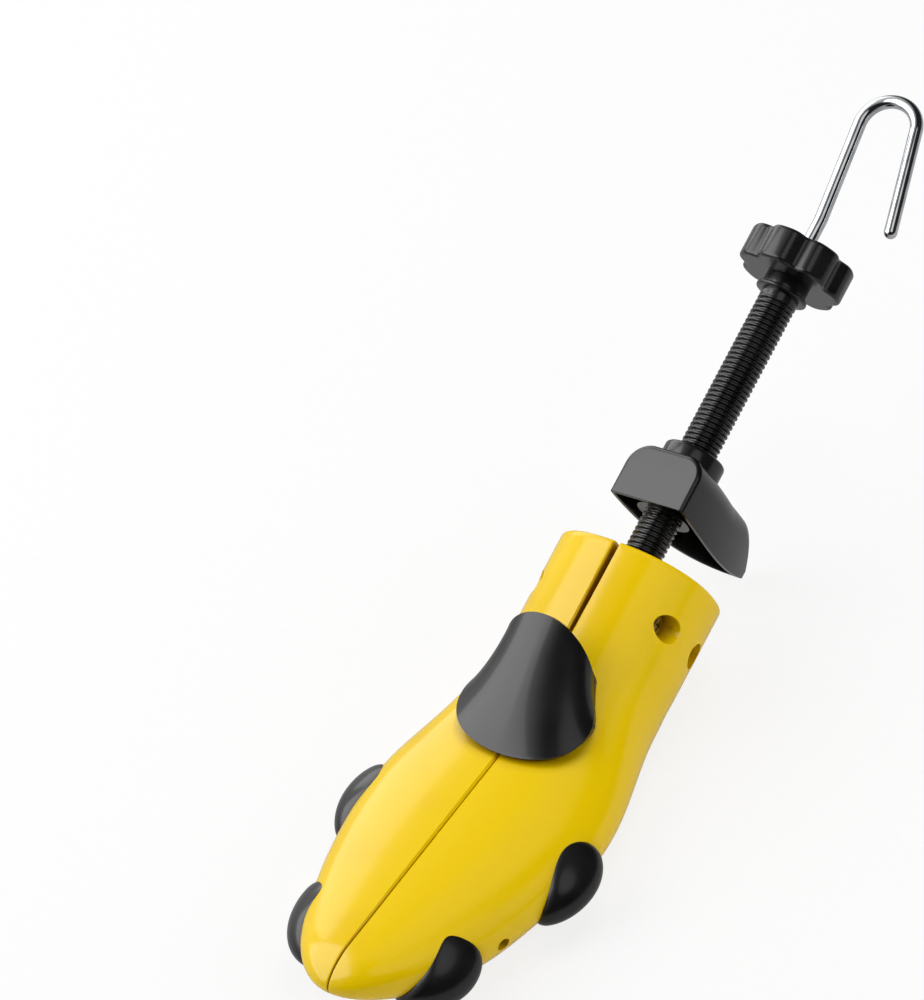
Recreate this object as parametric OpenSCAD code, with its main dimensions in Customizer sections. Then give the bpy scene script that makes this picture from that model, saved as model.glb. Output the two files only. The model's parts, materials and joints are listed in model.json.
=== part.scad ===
// Shoe stretcher for a left or right shoe, closed, standing on its sole.
// Each piece is drawn along the screw axis: X across, Y from the toe to the hook, Z up from the axis.
// The module stand() then tilts the axis so that the sole lies on the plane z = 0.

/* [Stance] */
// Rise of the screw axis towards the hook, in degrees
tilt = 20.5; // [18:0.5:23]
// Depth of the sole plane below the axis where the heel of the last ends
sole_drop = 32; // [31:0.5:34]
// Distance of that place from the neck end
heel_end = 45; // [43:1:47]

/* [Last] */
// Length of the last from the neck end to the toe
last_len = 200.5; // [196:0.5:206]
// Half of the width at the neck
neck_half_w = 32; // [31:0.5:35]
// Half of the width at the ball of the foot
ball_half_w = 46; // [43:0.5:49]
// Distance of the widest place from the neck end
ball_y = 110; // [106:1:114]
// Height of the neck above the axis
neck_top = 22; // [21:0.5:24]
// Depth of the neck below the axis
neck_bottom = 32.5; // [31:0.5:34]
// Climb of the instep line towards the toe
instep_slope = 0.345; // [0.33:0.005:0.36]
// Rise of the toe off the ground
toe_spring = 16; // [12:1:18]
// Wall of the two hollow halves
wall = 2.6; // [2.2:0.1:3]
// Thickness of the cross rib near the toe
toe_rib_t = 2.5; // [2:0.1:3]
// Thickness of the wall at the neck end
end_wall = 3; // [2.5:0.1:3.4]

/* [Screw tube] */
// Outer radius of the threaded tube
tube_r = 7.25; // [7:0.05:7.5]
// Radius of the bore that the hook rod passes through
tube_bore_r = 2.9; // [2.8:0.05:3.1]
// Distance from the neck end to the flange under the knob
tube_reach = 114.5; // [110:0.5:120]
// Radius of the collar that bears on the inside of the neck
collar_r = 9; // [8.5:0.1:9.3]
// Radius of the flange under the knob
flange_r = 10; // [9:0.5:12]
// Radius of the hub between the flange and the knob
hub_r = 8.5; // [8:0.1:9]

/* [Knob] */
// Outer radius of the knob over its lobes
knob_r = 20.5; // [19:0.5:22]
// Depth of the valleys between the lobes
knob_valley = 2.6; // [2:0.1:3.5]
// Number of lobes
knob_lobes = 7; // [6:1:9]
// Thickness of the knob
knob_t = 13.4; // [12:0.2:15]

/* [Hook rod] */
// Radius of the steel rod
rod_r = 2.5; // [2.4:0.05:2.6]
// Inner bend of the hook, to the middle of the rod
hook_bend_r = 11.3; // [10:0.1:13]
// Lean of the shank before the bend, in degrees
hook_lean = 6.5; // [5:0.5:8]
// Flare of the free leg, in degrees
hook_flare = 14.4; // [12:0.2:17]
// Length of the free leg
hook_leg = 41.3; // [38:0.1:45]
// Length of the leaning shank
hook_shank = 38.6; // [34:0.1:43]

/* [Heel block] */
// Width of the flat top of the heel block
heel_w = 34; // [32:0.5:35]
// Height of the heel block
heel_h = 73; // [71:0.5:74]
// Depth of the heel block along the axis
heel_depth = 21.5; // [20:0.5:23]
// Distance from the neck end to the front rim of the heel block
heel_y = 20; // [19:0.5:24]
// Height of the flat top above the axis
heel_top = 14; // [13.5:0.1:14.5]
// Wall of the heel block
heel_wall = 2; // [1.8:0.1:2.4]
// Turn of the heel block about the axis, in degrees
heel_turn = 9; // [8:0.5:10]

/* [Instep pad] */
// Half of the widest width of the pad
pad_half_w = 30; // [28:0.5:31]
// Height of the crest above the axis at the back
pad_top = 43; // [41:0.5:46]
// Distance from the neck end to the back of the crest
pad_back = 41; // [40:0.5:43]
// Length of the pad
pad_len = 50; // [48:0.5:52]
// Wall of the pad
pad_wall = 2.2; // [1.8:0.1:2.5]

/* [Plugs] */
// Length of a plug along the side of the last
plug_len = 34; // [30:0.5:36]
// Height of a plug
plug_h = 20; // [18:0.5:22]
// How far a plug stands proud of the last
plug_proud = 8.5; // [6:0.5:10]
// Radius of the peg that holds a plug
peg_r = 2.6; // [2.4:0.1:2.8]
// Height of the pegs above the sole
plug_rise = 16; // [15:0.5:17]

/* [Spreader] */
// Travel of the wedge from closed to fully spread
spread_travel = 11.2; // [10:0.1:11.5]
// Swing of each half from closed to fully spread, in degrees
spread_angle = 5.5; // [5:0.1:5.6]
// Distance from the neck end to the hinge pins
pin_y = 12; // [11.8:0.1:12.2]
// Distance of the hinge pins from the axis
pin_x = 12; // [11.8:0.1:12.4]
// Radius of a hinge pin
pin_r = 2; // [1.8:0.1:2.1]

/* [Hidden] */

// Clearance of a turning or sliding fit on the radius
run_fit = 0.05;
// Clearance between faces that move past each other
free_gap = 0.3;
// Clearance of two pieces that are pressed or screwed together
snug = 0.02;
// How far a cutter runs past the face that it opens
past = 1;
last_colour = "#E8C400";
black = "#161617";
steel = "#C9CCD0";

// Place of the part over the ground
lift = sole_drop * cos(tilt) + heel_end * sin(tilt);
shift_back = 8.5;

// Stations of the instep line, the toe spring and the rounding of the toe
instep_start = 82;
spring_start = last_len - 45.5;
spring_len = 45;
toe_round = 18.5;
waist_y = 42;
skin_power = 2.25;
flat_depth = 1.5;
seam_half = 0.15;
neck_seam_half = 1.2;
seam_flare_y = 90;

// Room inside the neck for the hinge
neck_room_w = 20.6;
neck_room_top = 16.3;
neck_room_bottom = -21.1;
neck_room_power = 9;

// Cam rib, toe rib and the ends of the three rooms inside a half
cam_y = 75;
cam_t = 8;
cam_nose_r = 3.9;
cam_nose_x = 6.15;
toe_rib_y = last_len - 37;
toe_room_end = 8.5;

// Bearing block, its lugs and the plate above it
block_half_w = 17;
block_front = 17;
block_back = 6;
block_bottom = -17;
block_top = 9.2;
lug_t = 2.9;
lug_r = 5;
ear_x = 14;
ear_lug_x = 17.5;
ear_out_x = neck_room_w - 0.6;
ear_front = 26;
ear_back = 17.8;
plate_t = 3;
plate_half_w = 9;
plate_z = block_top + lug_t + 2 * free_gap;
plate_front = 90;
riser_half_w = 5.5;
web_front = 30;
web_back = 24;
web_half_w = 12.5;
web_bottom = -10;
screw_y = 21;
screw_heights = [9, -12];
screw_seat_x = 21.5;
screw_r = 2;
screw_head_r = 4;
screw_head_t = 1.4;
screw_crown_r = 2.6;
screw_crown_t = 1;
screw_cross_w = 0.9;
counterbore_r = 5;

// Nut in the web
nut_flats = 8;
nut_t = 4;

// Wedge and the clip that holds the rod in it
wedge_back = 46;
wedge_front = 72;
wedge_nose = 3;
// Nose of a cam rib against the flank of the wedge: the roll of the nose adds 3 % to the plain slope
wedge_slope = 1.03 * (cam_y - pin_y) * tan(spread_angle) / spread_travel;
wedge_bottom = -9;
wedge_top = 12;
wedge_rear_t = 3;
wedge_pocket_x = 11.2;
wedge_pocket_w = 5.4;
wedge_pocket_depth = 5.5;
rod_tip_y = 54;
clip_y = 50;
clip_t = 1;
rod_groove_r = 1.75;
rod_groove_t = clip_t + 2 * free_gap;

// Tube ends and clip groove
tube_front = 21;
collar_t = 2;
tube_clip_t = 1;
tube_groove_r = 6.4;
flange_t = 1.5;
hub_len = 4.6;
hub_peg_r = 5.5;
hub_peg_len = 9.5;
knob_y = tube_reach + flange_t + hub_len;

// Pad boss
boss_y = 62;
boss_r = 4;
boss_top = 33.8;
pad_screw_r = 1.5;
pad_screw_head_r = 3.2;
pad_screw_head_t = 1.6;
pad_screw_len = 12;
pad_edge = 1.6;
pad_arch_half_w = 19;
pad_arch_sweep = 11;
pad_front_sweep = 19;
pad_lines = 16;
pad_rows = 9;

// Side stations of the last
ball_plug_y = ball_y + 14;
toe_plug_y = last_len - 22.5;
spare_hole_y = mix(ball_plug_y, toe_plug_y, 0.574);
sole_end = last_len - 12.5;
side_arcs = 14;

// Smooth step from 0 to 1
function ease(t) = let (c = min(max(t, 0), 1)) c * c * (3 - 2 * c);
// Zero below -s, d above s and a parabola between
function knee(d, s) = d < -s ? 0 : d > s ? d : (d + s) * (d + s) / (4 * s);
function mix(a, b, t) = a * (1 - t) + b * t;

// Lines of the last at the distance d from the neck end
function sole_z(d) = -sole_drop + tan(tilt) * (d - heel_end);
function spring_z(d) = toe_spring * pow(max(d - spring_start, 0) / spring_len, 2);
function bottom_z(d) = -neck_bottom + knee(sole_z(d) + neck_bottom, 3) + spring_z(d);
function top_z(d) = neck_top + instep_slope * knee(d - instep_start, 14);
function toe_close(d) = let (t = max(d - (last_len - toe_round), 0) / toe_round) sqrt(max(1 - t * t, 0));
function half_w(d) = d < ball_y
    ? mix(neck_half_w, ball_half_w, ease((d - waist_y) / (ball_y - waist_y)))
    : ball_half_w * sqrt(max(1 - pow((d - ball_y) / (last_len - ball_y), 1.7), 0));
function flat_part(d) = ease((d - 40) / 12) * ease((sole_end - d) / 30);
function low_z(d) = bottom_z(d) - flat_depth * flat_part(d);
function mid_z(d) = (top_z(d) + low_z(d)) / 2;
function half_h(d) = (top_z(d) - low_z(d)) / 2 * toe_close(d);
function seam(d) = mix(neck_seam_half, seam_half, ease(d / seam_flare_y));
// Height of the top skin at x, and the half width of the skin at z
function skin_z(x, d) = mid_z(d)
    + half_h(d) * pow(max(1 - pow(abs(x) / half_w(d), skin_power), 0), 1 / skin_power);
// Zero on the skin, positive outside it
function outside(p) = pow(abs(p.x) / half_w(-p.y), skin_power)
    + pow(abs(p.z - mid_z(-p.y)) / half_h(-p.y), skin_power) - 1;

// One arc of a section, from the seam at the top round the side to the seam at the bottom
function arc(d, w, h, z, power, floor_z) = [for (j = [0 : side_arcs]) let (a = 180 * j / side_arcs)
    [max(w * pow(abs(sin(a)), 2 / power), seam(d)), -d,
        max(z + h * sign(cos(a)) * pow(abs(cos(a)), 2 / power), floor_z)]];
function skin_arc(d) = arc(d, half_w(d), half_h(d), mid_z(d), skin_power, -999);
// The room inside is the skin less the wall, and turns into a plain box shape in the neck
function room_arc(d) = let (
    t = ease((d - 40) / 14),
    h = max(half_h(d) - wall, half_h(d) / 3),
    top = mix(neck_room_top, mid_z(d) + h, t),
    low = mix(neck_room_bottom, mid_z(d) - h, t),
    w = mix(neck_room_w, max(half_w(d) - wall, half_w(d) / 3), t),
    power = mix(neck_room_power, skin_power, t),
    floor_z = mix(neck_room_bottom, sole_z(d) + wall, t))
    arc(d, w, (top - low) / 2, (top + low) / 2, power, floor_z);

// Faces of a hollow open on one side: rings of outer and inner arcs, with solid parts between the rooms
function quad(a, b, c, d) = [[a, b, c], [a, c, d]];
function pod_faces(rings, arcs, open) = let (
    n = arcs + 1,
    o = function (i, j) i * n + j,
    r = function (i, j) (rings + i) * n + j)
    [for (i = [0 : rings - 2]) each [
        for (j = [0 : arcs - 1]) each quad(o(i, j), o(i, j + 1), o(i + 1, j + 1), o(i + 1, j)),
        each quad(o(i, 0), o(i + 1, 0), r(i + 1, 0), r(i, 0)),
        each quad(o(i, arcs), r(i, arcs), r(i + 1, arcs), o(i + 1, arcs)),
        if (open[i]) for (j = [0 : arcs - 1]) each quad(r(i, j), r(i + 1, j), r(i + 1, j + 1), r(i, j + 1)),
        if (!open[i]) each quad(r(i, 0), r(i + 1, 0), r(i + 1, arcs), r(i, arcs))],
    for (j = [0 : arcs - 1]) each quad(o(0, j), r(0, j), r(0, j + 1), o(0, j + 1)),
    for (j = [1 : arcs - 1]) [r(0, 0), r(0, j + 1), r(0, j)],
    for (j = [0 : arcs - 1])
        each quad(o(rings - 1, j), o(rings - 1, j + 1), r(rings - 1, j + 1), r(rings - 1, j)),
    for (j = [1 : arcs - 1]) [r(rings - 1, 0), r(rings - 1, j), r(rings - 1, j + 1)],
    for (i = [1 : rings - 2]) each [
        if (open[i] && !open[i - 1]) for (j = [1 : arcs - 1]) [r(i, 0), r(i, j), r(i, j + 1)],
        if (!open[i] && open[i - 1]) for (j = [1 : arcs - 1]) [r(i, 0), r(i, j + 1), r(i, j)]]];
module pod(outer, inner, open, arcs) {
    polyhedron([for (ring = outer) each ring, for (ring = inner) each ring],
        pod_faces(len(outer), arcs, open));
}

// Tilt and lift that stand the part on its sole
module stand() {
    translate([0, shift_back, lift]) rotate([tilt, 0, 0]) children();
}
// A cylinder along the axis, from the distance a to the distance b behind the neck end
module along(a, b, r, facets = 96) {
    translate([0, a, 0]) rotate([-90, 0, 0]) cylinder(h = b - a, r = r, $fn = facets);
}
module sides(side) {
    if (side < 0) mirror([1, 0, 0]) children();
    else children();
}

// Where a peg meets the side of the last, with the direction along the outline and the outward normal
function side_place(d) = let (z = sole_z(d) + plug_rise / cos(tilt),
    x = half_w(d) * pow(1 - pow(abs(z - mid_z(d)) / half_h(d), skin_power), 1 / skin_power)) [x, -d, z];
function slope_of(p) = let (e = 0.05) [
    outside(p + [e, 0, 0]) - outside(p - [e, 0, 0]),
    outside(p + [0, e, 0]) - outside(p - [0, e, 0]),
    outside(p + [0, 0, e]) - outside(p - [0, 0, e])];
function unit(v) = v / norm(v);
function side_frame(d) = let (p = side_place(d), n = unit(slope_of(p)), u = unit(cross([0, 0, 1], n)))
    [p, u, cross(n, u), n];
// Distance along n from p to the skin, by halving
function reach(p, n, low, high, left) = left == 0 ? (low + high) / 2
    : let (m = (low + high) / 2)
        outside(p + m * n) > 0 ? reach(p, n, low, m, left - 1) : reach(p, n, m, high, left - 1);
module at_side(d) {
    f = side_frame(d);
    multmatrix([for (k = [0 : 2]) [f[1][k], f[2][k], f[3][k], f[0][k]]]) children();
}

// The two halves of the last
last_rings = concat([0, end_wall, 12, 24, 36, 43, 49, 56, 63, cam_y - cam_t / 2, cam_y + cam_t / 2],
    [for (k = [1 : 9]) mix(cam_y + cam_t / 2, toe_rib_y, k / 10)],
    [toe_rib_y, toe_rib_y + toe_rib_t],
    [for (s = [28.5, 22.5, 16.5, 12.5, toe_room_end, 5.5, 3, 1.3, 0.25]) last_len - s]);
last_open = [for (i = [0 : len(last_rings) - 2]) let (m = (last_rings[i] + last_rings[i + 1]) / 2)
    m > end_wall && abs(m - cam_y) > cam_t / 2 && abs(m - toe_rib_y - toe_rib_t / 2) > toe_rib_t / 2
    && m < last_len - toe_room_end];

module last_half() {
    nose_low = -17;
    rib_head = 18;
    difference() {
        pod([for (d = last_rings) skin_arc(d)], [for (d = last_rings) room_arc(d)], last_open, side_arcs);
        // Flat sole
        rotate([-tilt, 0, 0]) translate([-10, -last_len * 1.2, -lift - 20])
            cube([ball_half_w * 1.5, last_len * 1.3, 20]);
        // Hole for the screw tube
        along(-end_wall - past, past, collar_r + 1.5);
        // Counterbores and holes of the hinge screws
        for (z = screw_heights) translate([0, -screw_y, z]) rotate([0, 90, 0]) {
            translate([0, 0, screw_seat_x]) cylinder(h = neck_half_w, r = counterbore_r, $fn = 64);
            translate([0, 0, neck_room_w - 2]) cylinder(h = 5, r = screw_r + 0.15, $fn = 48);
        }
        // Holes for the plugs, the middle one spare
        for (d = [ball_plug_y, spare_hole_y, toe_plug_y]) at_side(d)
            translate([0, 0, -3 * wall]) cylinder(h = 6 * wall, r = peg_r + snug, $fn = 48);
        // Room for the wedge and the plate beside the cam rib
        translate([-past, -cam_y - cam_t, nose_low])
            cube([cam_nose_x + past, 2 * cam_t, rib_head - nose_low]);
        translate([-past, -cam_y - cam_t, plate_z - 0.5])
            cube([plate_half_w + 1.5 + past, 2 * cam_t, rib_head - plate_z + 0.5]);
        // Notch for the boss of the pad
        translate([0, -boss_y, plate_z]) cylinder(h = neck_top, r = boss_r + 1.6, $fn = 64);
    }
    translate([cam_nose_x, -cam_y, nose_low])
        cylinder(h = plate_z - 0.5 - nose_low, r = cam_nose_r, $fn = 64);
}

// Hinge ear: a plate on the inside of the neck wall, with lugs above and below the bearing block
module ear_shape() {
    lug_top = block_top + free_gap;
    lug_low = block_bottom - free_gap - lug_t;
    difference() {
        union() {
            translate([0, -ear_back, 0]) rotate([90, 0, 0]) linear_extrude(ear_front - ear_back)
                polygon([[ear_x, lug_top + lug_t], [ear_lug_x, lug_top + lug_t], [ear_out_x, lug_top],
                    [ear_out_x, block_bottom], [ear_lug_x, lug_low], [ear_x, lug_low]]);
            for (z = [lug_top, lug_low]) translate([0, 0, z]) linear_extrude(lug_t) {
                translate([pin_x, -pin_y]) circle(r = lug_r, $fn = 64);
                translate([9, -ear_back - 4]) square([8, ear_back + 4 - pin_y]);
            }
        }
        translate([pin_x, -pin_y, lug_low - past])
            cylinder(h = lug_top - lug_low + lug_t + 2 * past, r = pin_r + run_fit, $fn = 48);
        for (z = screw_heights) translate([ear_x - past, -screw_y, z]) rotate([0, 90, 0])
            cylinder(h = 8, r = screw_r + snug, $fn = 48);
    }
}

// Two cross-head screws in the counterbores
module ear_screw_shape() {
    for (z = screw_heights) translate([0, -screw_y, z]) rotate([0, 90, 0]) difference() {
        union() {
            translate([0, 0, ear_x + 0.5]) cylinder(h = screw_seat_x - ear_x, r = screw_r, $fn = 48);
            translate([0, 0, screw_seat_x]) cylinder(h = screw_head_t, r = screw_head_r, $fn = 64);
            translate([0, 0, screw_seat_x + screw_head_t])
                cylinder(h = screw_crown_t, r1 = screw_head_r, r2 = screw_crown_r, $fn = 64);
        }
        for (a = [0, 90]) rotate(a) translate([-2, -screw_cross_w / 2, screw_seat_x + screw_head_t - 0.5])
            cube([4, screw_cross_w, 3]);
    }
}

// Oval dome on the side of the last, its underside on the curve of the skin
module plug_shape(d) {
    f = side_frame(d);
    turns = 28;
    rows = 6;
    seat = 0.12;
    spot = function (rho, a)
        let (p = f[0] + plug_len / 2 * rho * cos(a) * f[1] + plug_h / 2 * rho * sin(a) * f[2])
        p + (reach(p, f[3], -20, 12, 22) + seat) * f[3];
    dome = function (rho) plug_proud * pow(max(1 - pow(rho, 2.3), 0), 0.5);
    edge = 1.1;
    under = [for (k = [1 : rows]) for (i = [0 : turns - 1]) spot(k / rows, 360 * i / turns)];
    over = [for (k = [1 : rows]) let (rho = sin(90 * k / rows)) for (i = [0 : turns - 1])
        spot(rho, 360 * i / turns) + (edge + dome(rho) * (1 - edge / plug_proud)) * f[3]];
    m = rows * turns;
    faces = [
        for (i = [0 : turns - 1]) let (j = (i + 1) % turns) each [
            [2 * m, i, j],
            [2 * m + 1, m + j, m + i],
            for (k = [0 : rows - 2])
                each quad(k * turns + i, (k + 1) * turns + i, (k + 1) * turns + j, k * turns + j),
            for (k = [0 : rows - 2])
                each quad(m + k * turns + i, m + k * turns + j,
                    m + (k + 1) * turns + j, m + (k + 1) * turns + i),
            each quad(m - turns + i, 2 * m - turns + i, 2 * m - turns + j, m - turns + j)]];
    polyhedron(concat(under, over, [spot(0, 0), spot(0, 0) + plug_proud * f[3]]), faces);
    at_side(d) translate([0, 0, -wall - 2]) cylinder(h = wall + 2.6, r = peg_r, $fn = 48);
}

// Bearing block, plate and nut web in one moulding between the halves
module spine() {
    color(last_colour) stand() difference() {
        union() {
            translate([-block_half_w, -block_front, block_bottom])
                cube([2 * block_half_w, block_front - block_back, block_top - block_bottom]);
            translate([-riser_half_w, -block_front, block_top - 1])
                cube([2 * riser_half_w, block_front - block_back, plate_z - block_top + 2]);
            translate([-plate_half_w, -plate_front, plate_z])
                cube([2 * plate_half_w, plate_front - block_back, plate_t]);
            translate([-web_half_w, -web_front, web_bottom])
                cube([2 * web_half_w, web_front - web_back, plate_z - web_bottom]);
            translate([-plate_half_w, -web_front, plate_z - 1])
                cube([2 * plate_half_w, web_front - web_back, 2]);
            // Turned-down lip at the front of the plate
            translate([-plate_half_w, -plate_front, plate_z - 9]) cube([2 * plate_half_w, 2, 10]);
        }
        along(-block_front - past, past, tube_r + run_fit);
        for (x = [-pin_x, pin_x]) translate([x, -pin_y, block_bottom - past])
            cylinder(h = block_top - block_bottom + 2 * past, r = pin_r + snug, $fn = 48);
        along(-web_front - past, -web_back + past, tube_bore_r);
        translate([0, -web_back - nut_t, 0]) rotate([-90, 0, 0])
            cylinder(h = nut_t + past, r = (nut_flats / 2 + snug) / cos(30), $fn = 6);
        translate([0, -boss_y, plate_z - past])
            cylinder(h = plate_t + 2 * past, r = pad_screw_r + 0.2, $fn = 48);
        translate([0, -boss_y, plate_z - past])
            cylinder(h = past + pad_screw_head_t + 0.3, r = pad_screw_head_r + 0.2, $fn = 48);
    }
}

// Lowest height of the pad: clear of the halves when they are spread
function pad_floor(x, d) = skin_z(max(abs(x) - (d - pin_y) * sin(spread_angle), 0), d) + 0.4;
// Lines of the pad: v runs across it from -1 to 1, u from the back arch to the front edge
function pad_rear(v) = let (z = pad_floor(pad_arch_half_w, pad_back + pad_arch_sweep) + pad_edge)
    [pad_arch_half_w * sin(90 * v), -pad_back - pad_arch_sweep * (1 - cos(90 * v)),
        z + (pad_top - z) * pow(cos(90 * v), 0.85)];
function pad_fore(v) = let (x = pad_half_w * sin(90 * v),
    d = pad_back + pad_len - pad_front_sweep * (1 - cos(90 * v)))
    [x, -d, pad_floor(x, d) + pad_edge];
function pad_skin(u, v) = let (a = pad_rear(v), b = pad_fore(v), p = mix(a, b, u),
    x = mix(a.x, b.x, pow(u, 1.25)), z = p.z - 3 * u * (1 - u) * sin(180 * abs(v)))
    [x, p.y, max(z, pad_floor(x, -p.y) + pad_edge)];
function pad_under(u, v) = let (e = 0.003, p = pad_skin(u, v),
    n = unit(cross(pad_skin(u, v + e) - pad_skin(u, v - e), pad_skin(u - e, v) - pad_skin(u + e, v))),
    q = p - (n.z < 0 ? -1 : 1) * pad_wall * n)
    [q.x, q.y, max(q.z, pad_floor(q.x, -q.y))];

module instep_pad() {
    cols = pad_lines + 1;
    m = cols * (pad_rows + 1);
    us = [for (k = [0 : pad_rows]) 0.004 + 0.992 * k / pad_rows];
    vs = [for (k = [0 : pad_lines]) -0.985 + 1.97 * k / pad_lines];
    over = [for (u = us) for (v = vs) pad_skin(u, v)];
    under = [for (u = us) for (v = vs) pad_under(u, v)];
    at = function (i, j) i * cols + j;
    faces = [
        for (i = [0 : pad_rows - 1]) for (j = [0 : pad_lines - 1]) each concat(
            quad(at(i, j), at(i, j + 1), at(i + 1, j + 1), at(i + 1, j)),
            quad(m + at(i, j), m + at(i + 1, j), m + at(i + 1, j + 1), m + at(i, j + 1))),
        for (i = [0 : pad_rows - 1]) each concat(
            quad(at(i, 0), at(i + 1, 0), m + at(i + 1, 0), m + at(i, 0)),
            quad(at(i, pad_lines), m + at(i, pad_lines), m + at(i + 1, pad_lines), at(i + 1, pad_lines))),
        for (j = [0 : pad_lines - 1]) each concat(
            quad(at(0, j), m + at(0, j), m + at(0, j + 1), at(0, j + 1)),
            quad(at(pad_rows, j), at(pad_rows, j + 1), m + at(pad_rows, j + 1), m + at(pad_rows, j)))];
    color(black) stand() difference() {
        union() {
            polyhedron(concat(over, under), faces);
            translate([0, -boss_y, plate_z + plate_t])
                cylinder(h = boss_top - plate_z - plate_t, r = boss_r, $fn = 64);
        }
        translate([0, -boss_y, plate_z])
            cylinder(h = plate_t + pad_screw_len, r = pad_screw_r + snug, $fn = 48);
    }
}

module pad_screw() {
    color(steel) stand() translate([0, -boss_y, plate_z + 0.2]) difference() {
        union() {
            cylinder(h = pad_screw_head_t, r = pad_screw_head_r, $fn = 48);
            cylinder(h = pad_screw_len, r = pad_screw_r, $fn = 48);
        }
        for (a = [0, 90]) rotate(a) translate([-1.6, -0.35, -past]) cube([3.2, 0.7, past + 0.8]);
    }
}

module hinge_pins() {
    low = block_bottom - free_gap - lug_t;
    color(steel) stand() for (x = [-pin_x, pin_x]) translate([x, -pin_y, low])
        cylinder(h = block_top + free_gap + lug_t - low, r = pin_r, $fn = 48);
}

module drive_nut() {
    color(steel) stand() difference() {
        translate([0, -web_back - nut_t, 0]) rotate([-90, 0, 0])
            cylinder(h = nut_t, r = nut_flats / 2 / cos(30), $fn = 6);
        along(-web_back - nut_t - past, -web_back + past, rod_r + run_fit);
    }
}

module left_shell() { color(last_colour) stand() sides(-1) last_half(); }
module right_shell() { color(last_colour) stand() sides(1) last_half(); }
module left_ear() { color(last_colour) stand() sides(-1) ear_shape(); }
module right_ear() { color(last_colour) stand() sides(1) ear_shape(); }
module left_ear_screws() { color(steel) stand() sides(-1) ear_screw_shape(); }
module right_ear_screws() { color(steel) stand() sides(1) ear_screw_shape(); }
module left_ball_plug() { color(black) stand() sides(-1) plug_shape(ball_plug_y); }
module right_ball_plug() { color(black) stand() sides(1) plug_shape(ball_plug_y); }
module left_toe_plug() { color(black) stand() sides(-1) plug_shape(toe_plug_y); }
module right_toe_plug() { color(black) stand() sides(1) plug_shape(toe_plug_y); }

// Wedge that the hook rod pushes towards the toe between the two cam ribs
module spreader_wedge() {
    rear_w = wedge_nose + wedge_slope * (wedge_front - wedge_back);
    color(last_colour) stand() difference() {
        translate([0, 0, wedge_bottom]) linear_extrude(wedge_top - wedge_bottom)
            polygon([[-wedge_nose, -wedge_front], [wedge_nose, -wedge_front], [rear_w, -wedge_back],
                [rear_w, -wedge_back + wedge_rear_t], [-rear_w, -wedge_back + wedge_rear_t],
                [-rear_w, -wedge_back]]);
        along(-rod_tip_y - free_gap, -wedge_back + wedge_rear_t + past, rod_r + run_fit);
        translate([-5 - snug, -clip_y - clip_t / 2 - snug, -4.5])
            cube([10 + 2 * snug, clip_t + 2 * snug, wedge_top + 4.5 + past]);
        // Lightening pockets in the rear face
        for (x = [-1, 1])
            translate([x * wedge_pocket_x - wedge_pocket_w / 2,
                    -wedge_back + wedge_rear_t - wedge_pocket_depth, wedge_bottom + 3])
                cube([wedge_pocket_w, wedge_pocket_depth + past, wedge_top - wedge_bottom - 6]);
    }
}

// Fork that drops over the groove of the rod and holds it in the wedge
module rod_clip() {
    color(steel) stand() difference() {
        translate([-5, -clip_y - clip_t / 2, -4]) cube([10, clip_t, wedge_top + 4 - 0.5]);
        along(-clip_y - clip_t, -clip_y + clip_t, rod_groove_r + 0.35, 48);
        translate([-rod_groove_r - 0.35, -clip_y - clip_t, -4 - past])
            cube([2 * rod_groove_r + 0.7, 2 * clip_t, 4 + past]);
    }
}

// Steel rod with the hanging hook, which lies in the plane across the axis.
// The hook is swept along stations: its place, its heading from the axis in degrees, and its radius.
// The bend starts far enough behind the knob to stay clear of its bore when the rod has moved in
hook_start = knob_y + knob_t + spread_travel + free_gap;
hook_easing = 30;
hook_neck = [-hook_easing * (1 - cos(hook_lean)), hook_start + hook_easing * sin(hook_lean)]
    + hook_shank * [-sin(hook_lean), cos(hook_lean)];
hook_centre = hook_neck + hook_bend_r * [cos(hook_lean), sin(hook_lean)];
hook_turned = 180 + hook_lean - hook_flare;
hook_tip = hook_centre + hook_bend_r * [cos(hook_flare), sin(hook_flare)]
    + hook_leg * [sin(hook_flare), -cos(hook_flare)];
hook_skin_r = rod_r - 0.01;
hook_stations = concat(
    [[0, hook_start - 1, 0, hook_skin_r]],
    [for (k = [0 : 3]) let (a = hook_lean * k / 3)
        [-hook_easing * (1 - cos(a)), hook_start + hook_easing * sin(a), a, hook_skin_r]],
    [for (k = [0 : 22]) let (h = hook_lean - hook_turned * k / 22)
        [hook_centre.x - hook_bend_r * cos(h), hook_centre.y - hook_bend_r * sin(h), h, hook_skin_r]],
    [for (k = [0 : 4]) let (a = 80 * k / 4, h = hook_lean - hook_turned)
        [hook_tip.x - rod_r * sin(a) * sin(h), hook_tip.y + rod_r * sin(a) * cos(h), h,
            hook_skin_r * cos(a)]]);
hook_sides = 20;

module hook_rod() {
    rings = len(hook_stations);
    points = [for (s = hook_stations) for (k = [0 : hook_sides - 1]) let (b = 360 * k / hook_sides)
        [s[0] + s[3] * cos(b) * cos(s[2]), s[1] + s[3] * cos(b) * sin(s[2]), s[3] * sin(b)]];
    faces = concat(
        [for (i = [0 : rings - 2]) for (k = [0 : hook_sides - 1]) let (n = (k + 1) % hook_sides)
            each quad(i * hook_sides + k, i * hook_sides + n,
                (i + 1) * hook_sides + n, (i + 1) * hook_sides + k)],
        [[for (k = [hook_sides - 1 : -1 : 0]) k]],
        [[for (k = [0 : hook_sides - 1]) (rings - 1) * hook_sides + k]]);
    color(steel) stand() {
        polyhedron(points, faces);
        difference() {
            along(-rod_tip_y, hook_start, rod_r, 64);
            difference() {
                along(-clip_y - rod_groove_t / 2, -clip_y + rod_groove_t / 2, rod_r + past, 64);
                along(-clip_y - rod_groove_t, -clip_y + rod_groove_t, rod_groove_r, 64);
            }
        }
    }
}

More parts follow.
